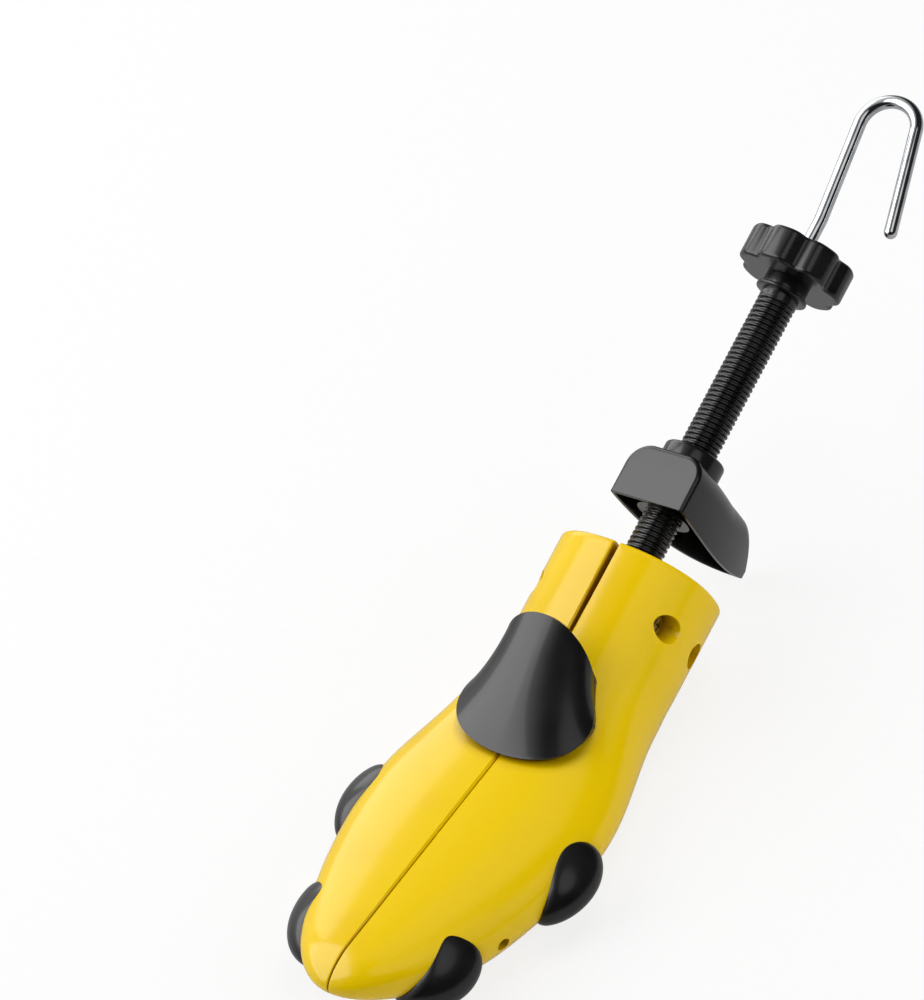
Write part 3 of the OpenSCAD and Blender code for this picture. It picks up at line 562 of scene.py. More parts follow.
@dataclass
class Last:
    """The hollow last in two halves: lines along the axis and a superellipse section, as moulded.

    Distances d run from the neck end to the toe, and lengths are in millimetres.
    """

    tilt: float
    length: float = 200.5
    neck_half_w: float = 32.0
    ball_half_w: float = 46.0
    ball: float = 110.0
    waist: float = 42.0
    neck_top: float = 22.0
    neck_bottom: float = 32.5
    sole_drop: float = 32.0
    heel_end: float = 45.0
    sole_soft: float = 3.0
    sole_sink: float = 1.5
    sole_from: float = 40.0
    sole_to: float = 188.0
    instep: float = 82.0
    instep_slope: float = 0.345
    instep_soft: float = 14.0
    spring_start: float = 155.0
    spring_len: float = 45.0
    toe_spring: float = 16.0
    toe_round: float = 18.5
    wall: float = 2.6
    power: float = 2.25
    cam: float = 75.0
    cam_t: float = 8.0
    toe_rib: float = 163.5
    toe_rib_t: float = 2.5
    toe_room_end: float = 8.5
    end_wall: float = 3.0
    neck_room_end: float = 40.0
    neck_room_half_w: float = 20.6
    neck_room_top: float = 16.3
    neck_room_low: float = -21.1
    neck_room_power: float = 9.0
    neck_edge: float = 1.5
    seam_edge: float = 0.7
    seam_half: float = 0.15
    neck_seam_half: float = 1.2
    seam_narrow: float = 90.0
    tube_hole_r: float = 10.5
    ear_d: float = 21.0
    ear_screw_z: tuple[float, float] = (9.0, -12.0)
    ear_sink_r: float = 5.0
    ear_screw_r: float = 2.15
    pad_d: float = 62.0
    pad_hole_r: float = 5.6
    cam_nose_x: float = 6.15
    cam_nose_r: float = 3.9
    cam_nose_low: float = -17.0
    cam_nose_top: float = 12.2
    cam_notch_half_w: float = 10.5
    cam_notch_top: float = 18.0
    plug_rise: float = 16.0
    peg_r: float = 2.6
    peg_stations: tuple[float, float, float] = (124.0, 155.0, 178.0)
    arcs: int = 72

    def sole(self, d: Grid) -> Grid:
        """Height of the sole plane, a line that climbs at the tilt towards the toe."""
        return -self.sole_drop + math.tan(self.tilt) * (d - self.heel_end)

    def top(self, d: Grid) -> Grid:
        """Top line: level over the neck, then climbing past the instep."""
        return self.neck_top + self.instep_slope * knee(d - self.instep, self.instep_soft)

    def low(self, d: Grid) -> Grid:
        """Bottom line: level under the neck, then a little under the sole plane, then up with the toe spring.

        Args:
            d: distances from the neck end.

        Returns:
            Height at each.
        """
        spring = self.toe_spring * (np.maximum(d - self.spring_start, 0) / self.spring_len) ** 2
        flat = ease((d - self.sole_from) / 12) * ease((self.sole_to - d) / 30)
        climb = knee(self.sole(d) + self.neck_bottom, self.sole_soft)
        return -self.neck_bottom + climb + spring - self.sole_sink * flat

    def half_w(self, d: Grid) -> Grid:
        """Half width: a smooth step from neck to ball, then the ball's times sqrt(1 - t^1.7) to the toe.

        Args:
            d: distances from the neck end.

        Returns:
            Half width at each.
        """
        t = np.clip((d - self.ball) / (self.length - self.ball), 0, 1)
        back = mix(self.neck_half_w, self.ball_half_w, ease((d - self.waist) / (self.ball - self.waist)))
        return np.where(d < self.ball, back, self.ball_half_w * np.sqrt(np.maximum(1 - t ** 1.7, 0)))

    def mid(self, d: Grid) -> Grid:
        """Middle height between the top and bottom lines."""
        return (self.top(d) + self.low(d)) / 2

    def half_h(self, d: Grid) -> Grid:
        """Half height, closed by a quarter circle at the toe."""
        t = np.maximum(d - (self.length - self.toe_round), 0) / self.toe_round
        return (self.top(d) - self.low(d)) / 2 * np.sqrt(np.maximum(1 - t * t, 0))

    def seam(self, d: Grid) -> Grid:
        """Half the parting gap, wider towards the neck."""
        return mix(self.neck_seam_half, self.seam_half, ease(d / self.seam_narrow))

    def outside(self, p: Grid) -> Grid:
        """Superellipse value of points: zero on the skin and positive outside it."""
        d = -p[..., 1]
        return (np.abs(p[..., 0]) / self.half_w(d)) ** self.power \
            + (np.abs(p[..., 2] - self.mid(d)) / self.half_h(d)) ** self.power - 1

    def skin_z(self, x: Grid, d: Grid) -> Grid:
        """Height of the top skin over x at d."""
        t = np.maximum(1 - (np.abs(x) / self.half_w(d)) ** self.power, 0)
        return self.mid(d) + self.half_h(d) * t ** (1 / self.power)

    def arc(self, d: Grid, w: Grid, h: Grid, z: Grid, power: Grid, floor: Grid, edge: float) -> Grid:
        """Rings of points from the top seam round the side to the bottom seam.

        Width goes with |sin a|^(2 / power) and height with |cos a|^(2 / power) of an angle that runs from 0 to pi.

        Args:
            d: stations, one per ring.
            w, h, z, power: half width, half height, middle height and exponent of each ring.
            floor: lowest height of each ring.
            edge: radius in millimetres that rounds the two seam edges.

        Returns:
            Array of rings by arcs + 1 by 3.
        """
        t = np.linspace(0, 1, self.arcs + 1)
        a = np.pi * (t - 0.10 * np.sin(2 * np.pi * t))
        s, c = np.abs(np.sin(a)), np.cos(a)
        gap = self.seam(d)[:, None]
        x = np.maximum(w[:, None] * s ** (2 / power[:, None]), gap)
        x[:, 0] = gap[:, 0]
        x[:, -1] = gap[:, 0]
        rise = h[:, None] * np.sign(c) * np.abs(c) ** (2 / power[:, None])
        inset = np.clip(edge - (x - gap), 0, edge)
        rise -= np.sign(c) * (edge - np.sqrt(np.maximum(edge ** 2 - inset ** 2, 0)))
        height = np.maximum(z[:, None] + rise, floor[:, None])
        return np.stack([x, np.repeat(-d[:, None], x.shape[1], 1), height], -1)

    def stations(self) -> tuple[Grid, Grid]:
        """Ring distances from neck to toe, closer together where the toe rounds off.

        Returns:
            The distances, and for each interval whether it has a room inside.
        """
        ribs = [0, self.end_wall, self.cam - self.cam_t / 2, self.cam + self.cam_t / 2, self.toe_rib,
                self.toe_rib + self.toe_rib_t, self.length - self.toe_room_end]
        toe = self.length - self.toe_room_end * np.cos(np.linspace(0, np.pi / 2, 14))[1:-1] ** 1.6
        neck = self.neck_edge * np.array([0, 0.1, 0.3, 0.6, 1.0])
        between = np.arange(self.end_wall, self.length - self.toe_room_end - 0.1, 2.0)
        d = np.unique(np.concatenate([neck, between, ribs, toe, [self.length - 0.12]]).round(3))
        m = (d[1:] + d[:-1]) / 2
        room = (m > self.end_wall) & (np.abs(m - self.cam) > self.cam_t / 2) \
            & (np.abs(m - self.toe_rib - self.toe_rib_t / 2) > self.toe_rib_t / 2) \
            & (m < self.length - self.toe_room_end)
        return d, room

    def shell(self, shop: Workshop, side: Side) -> bpy.types.Object:
        """Builds one half: an outer skin, rooms behind it, and its holes.

        The skin is set in by a quarter circle at the neck end. The room is a box there and follows the skin further on.

        Args:
            shop: where the mesh is made.
            side: which half.

        Returns:
            The finished half.
        """
        d, room = self.stations()
        w, h, z = self.half_w(d), self.half_h(d), self.mid(d)
        edge = self.neck_edge
        lead = edge * (1 - np.sqrt(np.maximum(1 - (np.clip(edge - d, 0, edge) / edge) ** 2, 0)))
        free = np.full_like(d, -np.inf)
        outer = self.arc(d, w - lead, h - lead, z, np.full_like(d, self.power), free, self.seam_edge)
        t = ease((d - self.neck_room_end) / 14)
        inner_h = np.maximum(h - self.wall, h / 3)
        top = mix(self.neck_room_top, z + inner_h, t)
        low = mix(self.neck_room_low, z - inner_h, t)
        inner_w = mix(self.neck_room_half_w, np.maximum(w - self.wall, w / 3), t)
        power = mix(self.neck_room_power, self.power, t)
        floor = mix(self.neck_room_low, self.sole(d) + self.wall, t)
        inner = self.arc(d, inner_w, (top - low) / 2, (top + low) / 2, power, floor, 0.0)
        points = np.concatenate([outer.reshape(-1, 3), inner.reshape(-1, 3)])
        points[:, 0] *= side.value
        faces = room_faces(room, self.arcs)
        obj = shop.piece(f"{side.name.lower()}_last_half", points, faces, flip=side is Side.LEFT)
        self.drill(shop, obj, side.value)
        shop.soften(obj, 0.0, 32)
        return obj

    def drill(self, shop: Workshop, obj: bpy.types.Object, s: int) -> None:
        """Cuts the flat sole, the holes and the notches, and adds the cam's nose.

        The numbers without a name only carry a tool past the wall that it cuts.

        Args:
            shop: where the tools are made.
            obj: the half.
            s: its side, as the sign of X.
        """
        lift = self.sole_drop * math.cos(self.tilt) + self.heel_end * math.sin(self.tilt)
        tools = [shop.block((-60, -260, -lift - 30), (60, 40, -lift), -self.tilt)]
        tools.append(shop.cylinder((0, -4, 0), (0, 1, 0), self.tube_hole_r))
        for z in self.ear_screw_z:
            tools.append(shop.cylinder((s * 21.5, -self.ear_d, z), (s * 50, -self.ear_d, z), self.ear_sink_r, 64))
            tools.append(shop.cylinder((s * 18, -self.ear_d, z), (s * 24, -self.ear_d, z), self.ear_screw_r, 48))
        for d in self.peg_stations:
            p, _, _, n = self.side_frame(d)
            p, n = p * (s, 1, 1), n * (s, 1, 1)
            tools.append(shop.cylinder(p - n * 8, p + n * 8, self.peg_r, 48))
        for half, low in ((self.cam_nose_x, self.cam_nose_low), (self.cam_notch_half_w, self.cam_nose_top)):
            x0, x1 = sorted((-s * 1.0, s * half))
            tools.append(shop.block((x0, -self.cam - 6, low), (x1, -self.cam + 6, self.cam_notch_top)))
        tools.append(shop.cylinder((0, -self.pad_d, 12.7), (0, -self.pad_d, 40), self.pad_hole_r, 64))
        shop.cut(obj, tools)
        foot, head = ((s * self.cam_nose_x, -self.cam, z) for z in (self.cam_nose_low, self.cam_nose_top))
        shop.cut(obj, [shop.cylinder(foot, head, self.cam_nose_r, 64)], "UNION")

    def side_frame(self, d: float) -> tuple[Grid, Grid, Grid, Grid]:
        """Finds the spot on the side that lies a plug's rise above the sole, and the directions there.

        The normal is the slope of the superellipse value, from differences of 0.05 mm to either side.

        Args:
            d: distance from the neck end.

        Returns:
            The spot, the way along the outline, the way up and the outward normal.
        """
        z = float(self.sole(np.array(d))) + self.plug_rise / math.cos(self.tilt)
        h, w = float(self.half_h(np.array(d))), float(self.half_w(np.array(d)))
        x = w * (1 - (abs(z - float(self.mid(np.array(d)))) / h) ** self.power) ** (1 / self.power)
        p = np.array([x, -d, z])
        n = np.array([float(self.outside(p + k) - self.outside(p - k)) for k in np.eye(3) * 0.05])
        n /= np.linalg.norm(n)
        u = np.cross([0, 0, 1], n)
        u /= np.linalg.norm(u)
        return p, u, np.cross(n, u), n


@dataclass
class ReliefPlug:
    """Oval dome on the side of the last: its rim follows the skin and its height falls as (1 - rho^2.1)^0.62."""

    last: Last
    half_long: float = 17.0
    half_high: float = 10.0
    height: float = 8.5
    rim: float = 1.1
    gap: float = 0.12
    sides: int = 96

    def depth(self, spots: Grid, n: Grid) -> Grid:
        """Finds the skin along the normal by halving the span between -20 and 12 mm thirty times.

        Args:
            spots: points near the skin.
            n: the normal.

        Returns:
            Distance along the normal from each spot to the skin.
        """
        low, high = np.full(spots.shape[:-1], -20.0), np.full(spots.shape[:-1], 12.0)
        for _ in range(30):
            middle = (low + high) / 2
            out = self.last.outside(spots + middle[..., None] * n) > 0
            low, high = np.where(out, low, middle), np.where(out, middle, high)
        return low

    def build(self, shop: Workshop, side: Side, d: float, name: str) -> bpy.types.Object:
        """Closes a dome over the skin with the skin's own form as its seat.

        Args:
            shop: where the mesh is made.
            side: which half carries it.
            d: station of its peg.
            name: name of the piece.

        Returns:
            The plug, as an object.
        """
        p, u, v, n = self.last.side_frame(d)
        rho = np.sin(np.linspace(0, np.pi / 2, 26))[1:]
        t = np.linspace(0, 2 * np.pi, self.sides, endpoint=False)
        r, a = np.meshgrid(rho, t, indexing="ij")
        spots = p + self.half_long * (r * np.cos(a))[..., None] * u + self.half_high * (r * np.sin(a))[..., None] * v
        seat = spots + (self.depth(spots, n) + self.gap)[..., None] * n
        height = self.rim + (self.height - self.rim) * np.maximum(1 - r ** 2.1, 0) ** 0.62
        height -= 0.5 * np.clip((r - 0.93) / 0.07, 0, 1) ** 3
        dome = seat + height[..., None] * n
        poles = [p + (self.gap + self.height) * n, p + self.gap * n]
        points = np.concatenate([dome.reshape(-1, 3), seat.reshape(-1, 3), poles])
        points[:, 0] *= side.value
        rows, c = len(rho), self.sides
        m = rows * c
        faces = [f[::-1] for f in quads(rows, c, wrap_cols=True)] + quads(rows, c, wrap_cols=True, start=m)
        faces += [[2 * m, j, (j + 1) % c] for j in range(c)]
        faces += [[2 * m + 1, m + (j + 1) % c, m + j] for j in range(c)]
        edge, base = (rows - 1) * c, m + (rows - 1) * c
        faces += [[edge + j, base + j, base + (j + 1) % c, edge + (j + 1) % c] for j in range(c)]
        obj = shop.piece(name, points, faces, flip=side is Side.LEFT)
        shop.soften(obj, 0.0, 50)
        return obj


@dataclass
class InstepPad:
    """Saddle over the instep: lines run from a back arch to a swept front edge, sagging a little between."""

    last: Last
    half_w: float = 30.0
    top: float = 43.0
    back: float = 41.0
    length: float = 50.0
    wall: float = 2.2
    edge: float = 1.6
    arch_half_w: float = 19.0
    arch_sweep: float = 11.0
    front_sweep: float = 19.0
    sag: float = 3.0
    hinge_d: float = 12.0
    spread: float = math.radians(5.5)
    clear: float = 0.4
    boss_r: float = 4.0
    boss_z: tuple[float, float] = (15.7, 33.8)

    def floor(self, x: Grid, d: Grid) -> Grid:
        """Lowest height that is clear of the spread halves: the skin's, a little nearer the middle."""
        return self.last.skin_z(np.maximum(np.abs(x) - (d - self.hinge_d) * math.sin(self.spread), 0), d) + self.clear

    def skin(self, u: Grid, v: Grid) -> Grid:
        """Outer surface: straight lines from arch to front edge, widening as u^1.25, with the flanks sunk between.

        The arch is a quarter turn of cos^0.85 in height to each side. The flanks sink by sag times u(1 - u)sin(pi|v|).

        Args:
            u: 0 at the arch and 1 at the front edge.
            v: -1 to 1 across.

        Returns:
            Points in drawing millimetres.
        """
        a = v * np.pi / 2
        rear_d = self.back + self.arch_sweep * (1 - np.cos(a))
        base = self.floor(np.array(self.arch_half_w), np.array(self.back + self.arch_sweep)) + self.edge
        rear = np.stack([self.arch_half_w * np.sin(a), -rear_d, base + (self.top - base) * np.cos(a) ** 0.85], -1)
        fore_d = self.back + self.length - self.front_sweep * (1 - np.cos(a))
        fore_x = self.half_w * np.sin(a)
        fore = np.stack([fore_x, -fore_d, self.floor(fore_x, fore_d) + self.edge], -1)
        p = mix(rear, fore, u[..., None])
        p[..., 0] = mix(rear[..., 0], fore[..., 0], u ** 1.25)
        p[..., 2] -= self.sag * u * (1 - u) * np.sin(np.pi * np.abs(v))
        p[..., 2] = np.maximum(p[..., 2], self.floor(p[..., 0], -p[..., 1]) + self.edge)
        return p

    def build(self, shop: Workshop) -> bpy.types.Object:
        """Closes the outer surface with one a wall below it, and adds the boss for its screw.

        The front corners are rounded by holding u below (1 + sqrt(1 - |v|^3.5)) / 2.
        The wall is measured along the normal in the middle and straight down at the flanks.

        Args:
            shop: where the mesh is made.

        Returns:
            The pad, as an object.
        """
        rows, cols, e = 56, 96, 0.002
        u, v = np.meshgrid(np.linspace(0.004, 0.996, rows), np.linspace(-0.985, 0.985, cols), indexing="ij")
        u = u * (0.5 + 0.5 * np.sqrt(1 - np.abs(v) ** 3.5))
        over = self.skin(u, v)
        n = np.cross(self.skin(u, v + e) - self.skin(u, v - e), self.skin(u - e, v) - self.skin(u + e, v))
        n /= np.linalg.norm(n, axis=-1, keepdims=True)
        n *= np.where(n[..., 2:] < 0, -1, 1)
        flank = ease((np.abs(v) - 0.7) / 0.25)[..., None]
        n = mix(n, np.array([0.0, 0.0, 1.0]), flank)
        n /= np.linalg.norm(n, axis=-1, keepdims=True)
        under = over - self.wall * n
        under[..., 2] = np.maximum(under[..., 2], self.floor(under[..., 0], -under[..., 1]))
        m = rows * cols
        rim = [i * cols for i in range(rows)] + [(rows - 1) * cols + j for j in range(1, cols)]
        rim += [i * cols + cols - 1 for i in range(rows - 2, -1, -1)] + [j for j in range(cols - 2, 0, -1)]
        faces = [f[::-1] for f in quads(rows, cols)] + quads(rows, cols, start=m)
        faces += [[a, b, m + b, m + a] for a, b in zip(rim, rim[1:] + rim[:1])]
        faces = [f[::-1] for f in faces]
        obj = shop.piece("instep_saddle", np.concatenate([over.reshape(-1, 3), under.reshape(-1, 3)]), faces)
        shop.soften(obj, 0.55, 45)
        foot, head = ((0, -self.last.pad_d, z) for z in self.boss_z)
        shop.cut(obj, [shop.cylinder(foot, head, self.boss_r, 64)], "UNION")
        shop.soften(obj, 0.0, 45)
        return obj


@dataclass
class ScrewTube:
    """Threaded tube: the radius follows a rounded trapezium along a 2 mm helix."""

    radius: float = 7.25
    bore: float = 2.9
    pitch: float = 2.0
    depth: float = 0.95
    front: float = -21.0
    reach: float = 114.5
    collar_r: float = 9.0
    collar_y: tuple[float, float] = (-5.5, -3.5)

    def thread(self, y: Grid, a: Grid) -> Grid:
        """Radius on the helix: crest and root each a quarter of the pitch, with eased flanks, run in at both ends.

        Args:
            y: place along the axis.
            a: angle round it.

        Returns:
            Radius at each.
        """
        phase = (y / self.pitch - a / (2 * np.pi)) % 1.0
        wave = np.clip(2 * np.abs(phase - 0.5) * 2 - 0.5, 0, 1)
        run_in = ease((y - self.front) / 2) * ease((self.reach - 2.6 - y) / 1.6)
        return self.radius - self.depth * ease(wave) * run_in

    def build(self, shop: Workshop) -> bpy.types.Object:
        """Rows along the axis carry the thread, the flange and the hub as one skin, closed round the bore.

        Args:
            shop: where the mesh is made.

        Returns:
            The tube, as an object.
        """
        y = np.arange(self.front, self.reach + 0.01, self.pitch / 12)
        t = np.linspace(0, 2 * np.pi, 72, endpoint=False)
        yy, aa = np.meshgrid(y, t, indexing="ij")
        r = self.thread(yy, aa)
        flange = np.array([(self.reach, 9.4), (114.7, 9.85), (115.0, 10.0), (115.6, 10.0), (115.9, 9.85),
                           (116.0, 9.5), (116.0, 8.9), (116.3, 8.5), (120.2, 8.5), (120.6, 8.3), (120.6, 5.5),
                           (130.1, 5.5), (130.1, self.bore), (self.front, self.bore)])
        yy = np.vstack([yy, np.repeat(flange[:, :1], len(t), 1)])
        r = np.vstack([r, np.repeat(flange[:, 1:], len(t), 1)])
        aa = np.repeat(t[None, :], len(yy), 0)
        points = np.stack([r * np.sin(aa), yy, r * np.cos(aa)], -1)
        obj = shop.piece("threaded_tube", points.reshape(-1, 3), quads(len(yy), len(t), True, True))
        shop.soften(obj, 0.0, 40)
        return obj

    def collar(self, shop: Workshop) -> bpy.types.Object:
        """Ring on the tube that bears against the inside of the neck.

        Args:
            shop: where the mesh is made.

        Returns:
            The collar, as an object.
        """
        near, far = ((0, y, 0) for y in self.collar_y)
        obj = shop.cylinder(near, far, self.collar_r)
        obj.name = "tube_collar"
        shop.soften(obj, 0.3, 40)
        return obj


@dataclass
class Knob:
    """Lobed hand knob: a profile carried round the axis, its outer radius drawn in between the lobes."""

    radius: float = 20.5
    valley: float = 2.6
    lobes: int = 7
    start: float = 120.6
    thick: float = 13.4
    edge: float = 1.5
    pinch: float = 2.6
    bore: float = 2.95

    def build(self, shop: Workshop) -> bpy.types.Object:
        """Closed skin from the front bore over the rounded rim to the dished back and through the bore.

        A row is a place along the axis, a radius and the share of the valleys that it takes. The valleys are
        ((1 - cos of lobes times the angle) / 2) to the power of pinch.

        Args:
            shop: where the mesh is made.

        Returns:
            The knob, as an object.
        """
        q = np.linspace(0, np.pi / 2, 9)
        rows = [(0.0, self.bore, 0.0), (0.0, 8.7, 0.0), (0.0, 12.0, 0.2)]
        rows += [(0.0, self.radius - self.edge - 0.4, 1.0)]
        rows += [(self.edge * (1 - math.cos(a)), self.radius - self.edge * (1 - math.sin(a)), 1.0) for a in q]
        rows += [(self.thick - self.edge * (1 - math.sin(a)), self.radius - self.edge * (1 - math.cos(a)), 1.0)
                 for a in q]
        rows += [(self.thick, self.radius - self.edge - 0.4, 1.0), (self.thick, 13.0, 0.3),
                 (self.thick, 10.2, 0.0), (self.thick - 0.25, 9.7, 0.0), (self.thick - 1.4, 9.4, 0.0),
                 (self.thick - 1.7, 9.0, 0.0), (self.thick - 1.7, 4.9, 0.0),
                 (self.thick - 1.3, 4.5, 0.0), (self.thick - 0.3, 4.3, 0.0), (self.thick, 4.0, 0.0),
                 (self.thick, 3.1, 0.0), (self.thick - 0.2, self.bore, 0.0)]
        y, r, share = np.array(rows).T
        t = np.linspace(0, 2 * np.pi, self.lobes * 28, endpoint=False)
        lobe = ((1 - np.cos(self.lobes * t)) / 2) ** self.pinch
        rr = r[:, None] - self.valley * share[:, None] * lobe[None, :]
        yy = np.repeat(self.start + y[:, None], len(t), 1)
        points = np.stack([rr * np.sin(t), yy, rr * np.cos(t)], -1)
        obj = shop.piece("lobed_knob", points.reshape(-1, 3), quads(len(y), len(t), True, True))
        shop.soften(obj, 0.0, 40)
        return obj


@dataclass
class HookRod:
    """Steel rod swept along its centre line, with the hook bent in the plane across the axis."""

    radius: float = 2.5
    lean: float = math.radians(6.5)
    flare: float = math.radians(14.4)
    bend: float = 11.3
    shank: float = 38.6
    leg: float = 41.3
    easing: float = 30.0
    start: float = 145.5
    tip: float = -54.0

    def stations(self) -> Grid:
        """Centre line: straight, eased bend, shank, half turn, leg and domed end, each an arc or a line.

        Returns:
            Rows of x, y, heading and radius.
        """
        straight = [(0.0, y, 0.0, r) for y, r in ((self.tip, 2.0), (self.tip + 0.5, 2.45), (-30.0, self.radius),
                                                   (60.0, self.radius), (self.start - 1, self.radius))]
        a = np.linspace(0, self.lean, 7)
        eased = [(-self.easing * (1 - math.cos(k)), self.start + self.easing * math.sin(k), k, self.radius) for k in a]
        neck = np.array(eased[-1][:2]) + self.shank * np.array([-math.sin(self.lean), math.cos(self.lean)])
        centre = neck + self.bend * np.array([math.cos(self.lean), math.sin(self.lean)])
        h = self.lean - np.linspace(0, math.pi + self.lean - self.flare, 60)
        turn = [(centre[0] - self.bend * math.cos(k), centre[1] - self.bend * math.sin(k), k, self.radius) for k in h]
        end = np.array(turn[-1][:2]) + self.leg * np.array([-math.sin(h[-1]), math.cos(h[-1])])
        q = np.linspace(0, math.pi / 2 * 0.98, 9)
        dome = [(end[0] - self.radius * math.sin(k) * math.sin(h[-1]), end[1] + self.radius * math.sin(k)
                 * math.cos(h[-1]), h[-1], self.radius * math.cos(k)) for k in q]
        return np.array(straight + eased + turn + dome)

    def build(self, shop: Workshop) -> bpy.types.Object:
        """Circle of each station's radius set square to its heading.

        Args:
            shop: where the mesh is made.

        Returns:
            The rod, as an object.
        """
        x, y, h, r = self.stations().T
        t = np.linspace(0, 2 * np.pi, 48, endpoint=False)
        c, s = np.cos(t)[None, :], np.sin(t)[None, :]
        points = np.stack([x[:, None] + r[:, None] * c * np.cos(h)[:, None],
                           y[:, None] + r[:, None] * c * np.sin(h)[:, None], r[:, None] * s], -1)
        rows, cols = len(x), len(t)
        faces = quads(rows, cols, wrap_cols=True)
        faces += [list(range(cols)), list(range(rows * cols - 1, (rows - 1) * cols - 1, -1))]
        obj = shop.piece("hook_and_rod", points.reshape(-1, 3), faces, flip=True)
        shop.soften(obj, 0.0, 40)
        return obj


@dataclass
class HeelBlock:
    """Hollow horn open to the toe: U lines at falling levels, with a threaded boss through it."""

    width: float = 34.0
    height: float = 73.0
    depth: float = 21.5
    front: float = 20.0
    top: float = 14.0
    wall: float = 2.0
    turn: float = math.radians(9.0)
    corner: float = 9.0
    round_top: float = 1.9
    roof_share: float = 0.02
    room_end: float = 0.88
    tip_depth: float = 8.2
    front_boss_r: float = 10.5
    rear_boss_r: float = 11.8
    rear_boss_round: float = 1.4
    bore_r: float = 7.3
    web_half_w: float = 14.4
    web_z: tuple[float, float] = (-10.0, -8.2)
    rib_half_w: float = 5.0
    rib_z: tuple[float, float] = (8.0, 12.5)
    arcs: int = 56

    def line(self, t: Grid, inset: Grid | float) -> Grid:
        """U line at each level: side, quarter circle, back, quarter circle, side.

        The half width falls as 1 - t^1.8, and the back comes forward over the last three tenths.

        Args:
            t: levels, 0 at the top and 1 at the tip.
            inset: how far each line is set in, in millimetres.

        Returns:
            Array of levels by points by 3.
        """
        half = self.width / 2 * (1 - t ** 1.8)
        w = np.maximum(half - inset, half / 3)
        f = self.front + 6.6 * t ** 3 - 1.4 * np.sin(np.pi * np.maximum(t - 0.03, 0))
        back = self.front + self.depth - (self.depth - self.tip_depth) * (np.maximum(t - 0.7, 0) / 0.3) ** 1.7
        b = np.maximum(back - inset, mix(f, back, 0.4))
        c = np.minimum(np.minimum(self.corner - inset, 0.75 * w), 0.6 * (b - f))
        z = self.top - self.height * t
        q = np.linspace(0, np.pi / 2, self.arcs // 2)
        right_x = (w - c)[:, None] + c[:, None] * np.cos(q)
        arc_y = (b - c)[:, None] + c[:, None] * np.sin(q)
        x = np.concatenate([w[:, None], right_x, np.zeros((len(t), 1)), -right_x[:, ::-1], -w[:, None]], 1)
        y = np.concatenate([f[:, None], arc_y, b[:, None], arc_y[:, ::-1], f[:, None]], 1)
        return np.stack([x, y, np.repeat(z[:, None], x.shape[1], 1)], -1)

    def build(self, shop: Workshop) -> bpy.types.Object:
        """Joins outer and inner U lines at the rims, closes the top and the tip, and adds boss and web.

        The top edge is a quarter circle of round_top, by which the first outer lines are set in.

        Args:
            shop: where the mesh is made.

        Returns:
            The block, as an object.
        """
        round_t = self.round_top / self.height
        levels = [[0.0285, self.room_end], np.linspace(0, round_t, 7), np.linspace(0.05, 0.985, 44)]
        t = np.unique(np.concatenate(levels))
        sunk = self.round_top * (1 - np.sqrt(1 - np.clip(1 - t / round_t, 0, 0.98) ** 2))
        room = (t[:-1] > self.roof_share) & (t[1:] < self.room_end + 0.001)
        outer, inner = self.line(t, sunk), self.line(t, self.wall)
        points = np.concatenate([outer.reshape(-1, 3), inner.reshape(-1, 3)])
        obj = shop.piece("heel_horn", self.turned(points), room_faces(room, outer.shape[1] - 1))
        shop.soften(obj, 0.8, 40)
        self.join(shop, obj)
        shop.soften(obj, 0.0, 40)
        return obj

    def turned(self, p: Grid) -> Grid:
        """Turns points about the screw axis: cos and sin of the block's turn in x and z."""
        c, s = math.cos(-self.turn), math.sin(-self.turn)
        return np.stack([p[:, 0] * c + p[:, 2] * s, p[:, 1], -p[:, 0] * s + p[:, 2] * c], -1)

    def join(self, shop: Workshop, obj: bpy.types.Object) -> None:
        """Adds the boss, its back collar, the rib above and the web below, then bores them.

        Args:
            shop: where the tools are made.
            obj: the horn.
        """
        back = self.front + self.depth
        front_boss = shop.cylinder((0, self.front + 0.6, 0), (0, back, 0), self.front_boss_r)
        rear_boss = shop.cylinder((0, back - 3, 0), (0, back + 5.5, 0), self.rear_boss_r)
        shop.soften(rear_boss, self.rear_boss_round, 40)
        bars = ((self.web_half_w, self.front + 6, back - self.corner + 1, self.web_z),
                (self.corner, self.front + 6, back - 1, self.web_z),
                (self.rib_half_w, self.front + 1, back - 1, self.rib_z))
        blocks = [shop.block((-half, y0, z[0]), (half, y1, z[1])) for half, y0, y1, z in bars]
        inverse = np.linalg.inv(np.vstack([shop.to_row, [0, 0, 0, 1]]))
        for tool in blocks:
            world = np.array([v.co for v in tool.data.vertices])
            local = world @ inverse[:3, :3].T + inverse[:3, 3]
            tool.data.vertices.foreach_set("co", shop.place(self.turned(local)).ravel())
            tool.data.update()
        shop.cut(obj, [front_boss, rear_boss, *blocks], "UNION")
        shop.cut(obj, [shop.cylinder((0, self.front - 3, 0), (0, back + 8, 0), self.bore_r)])


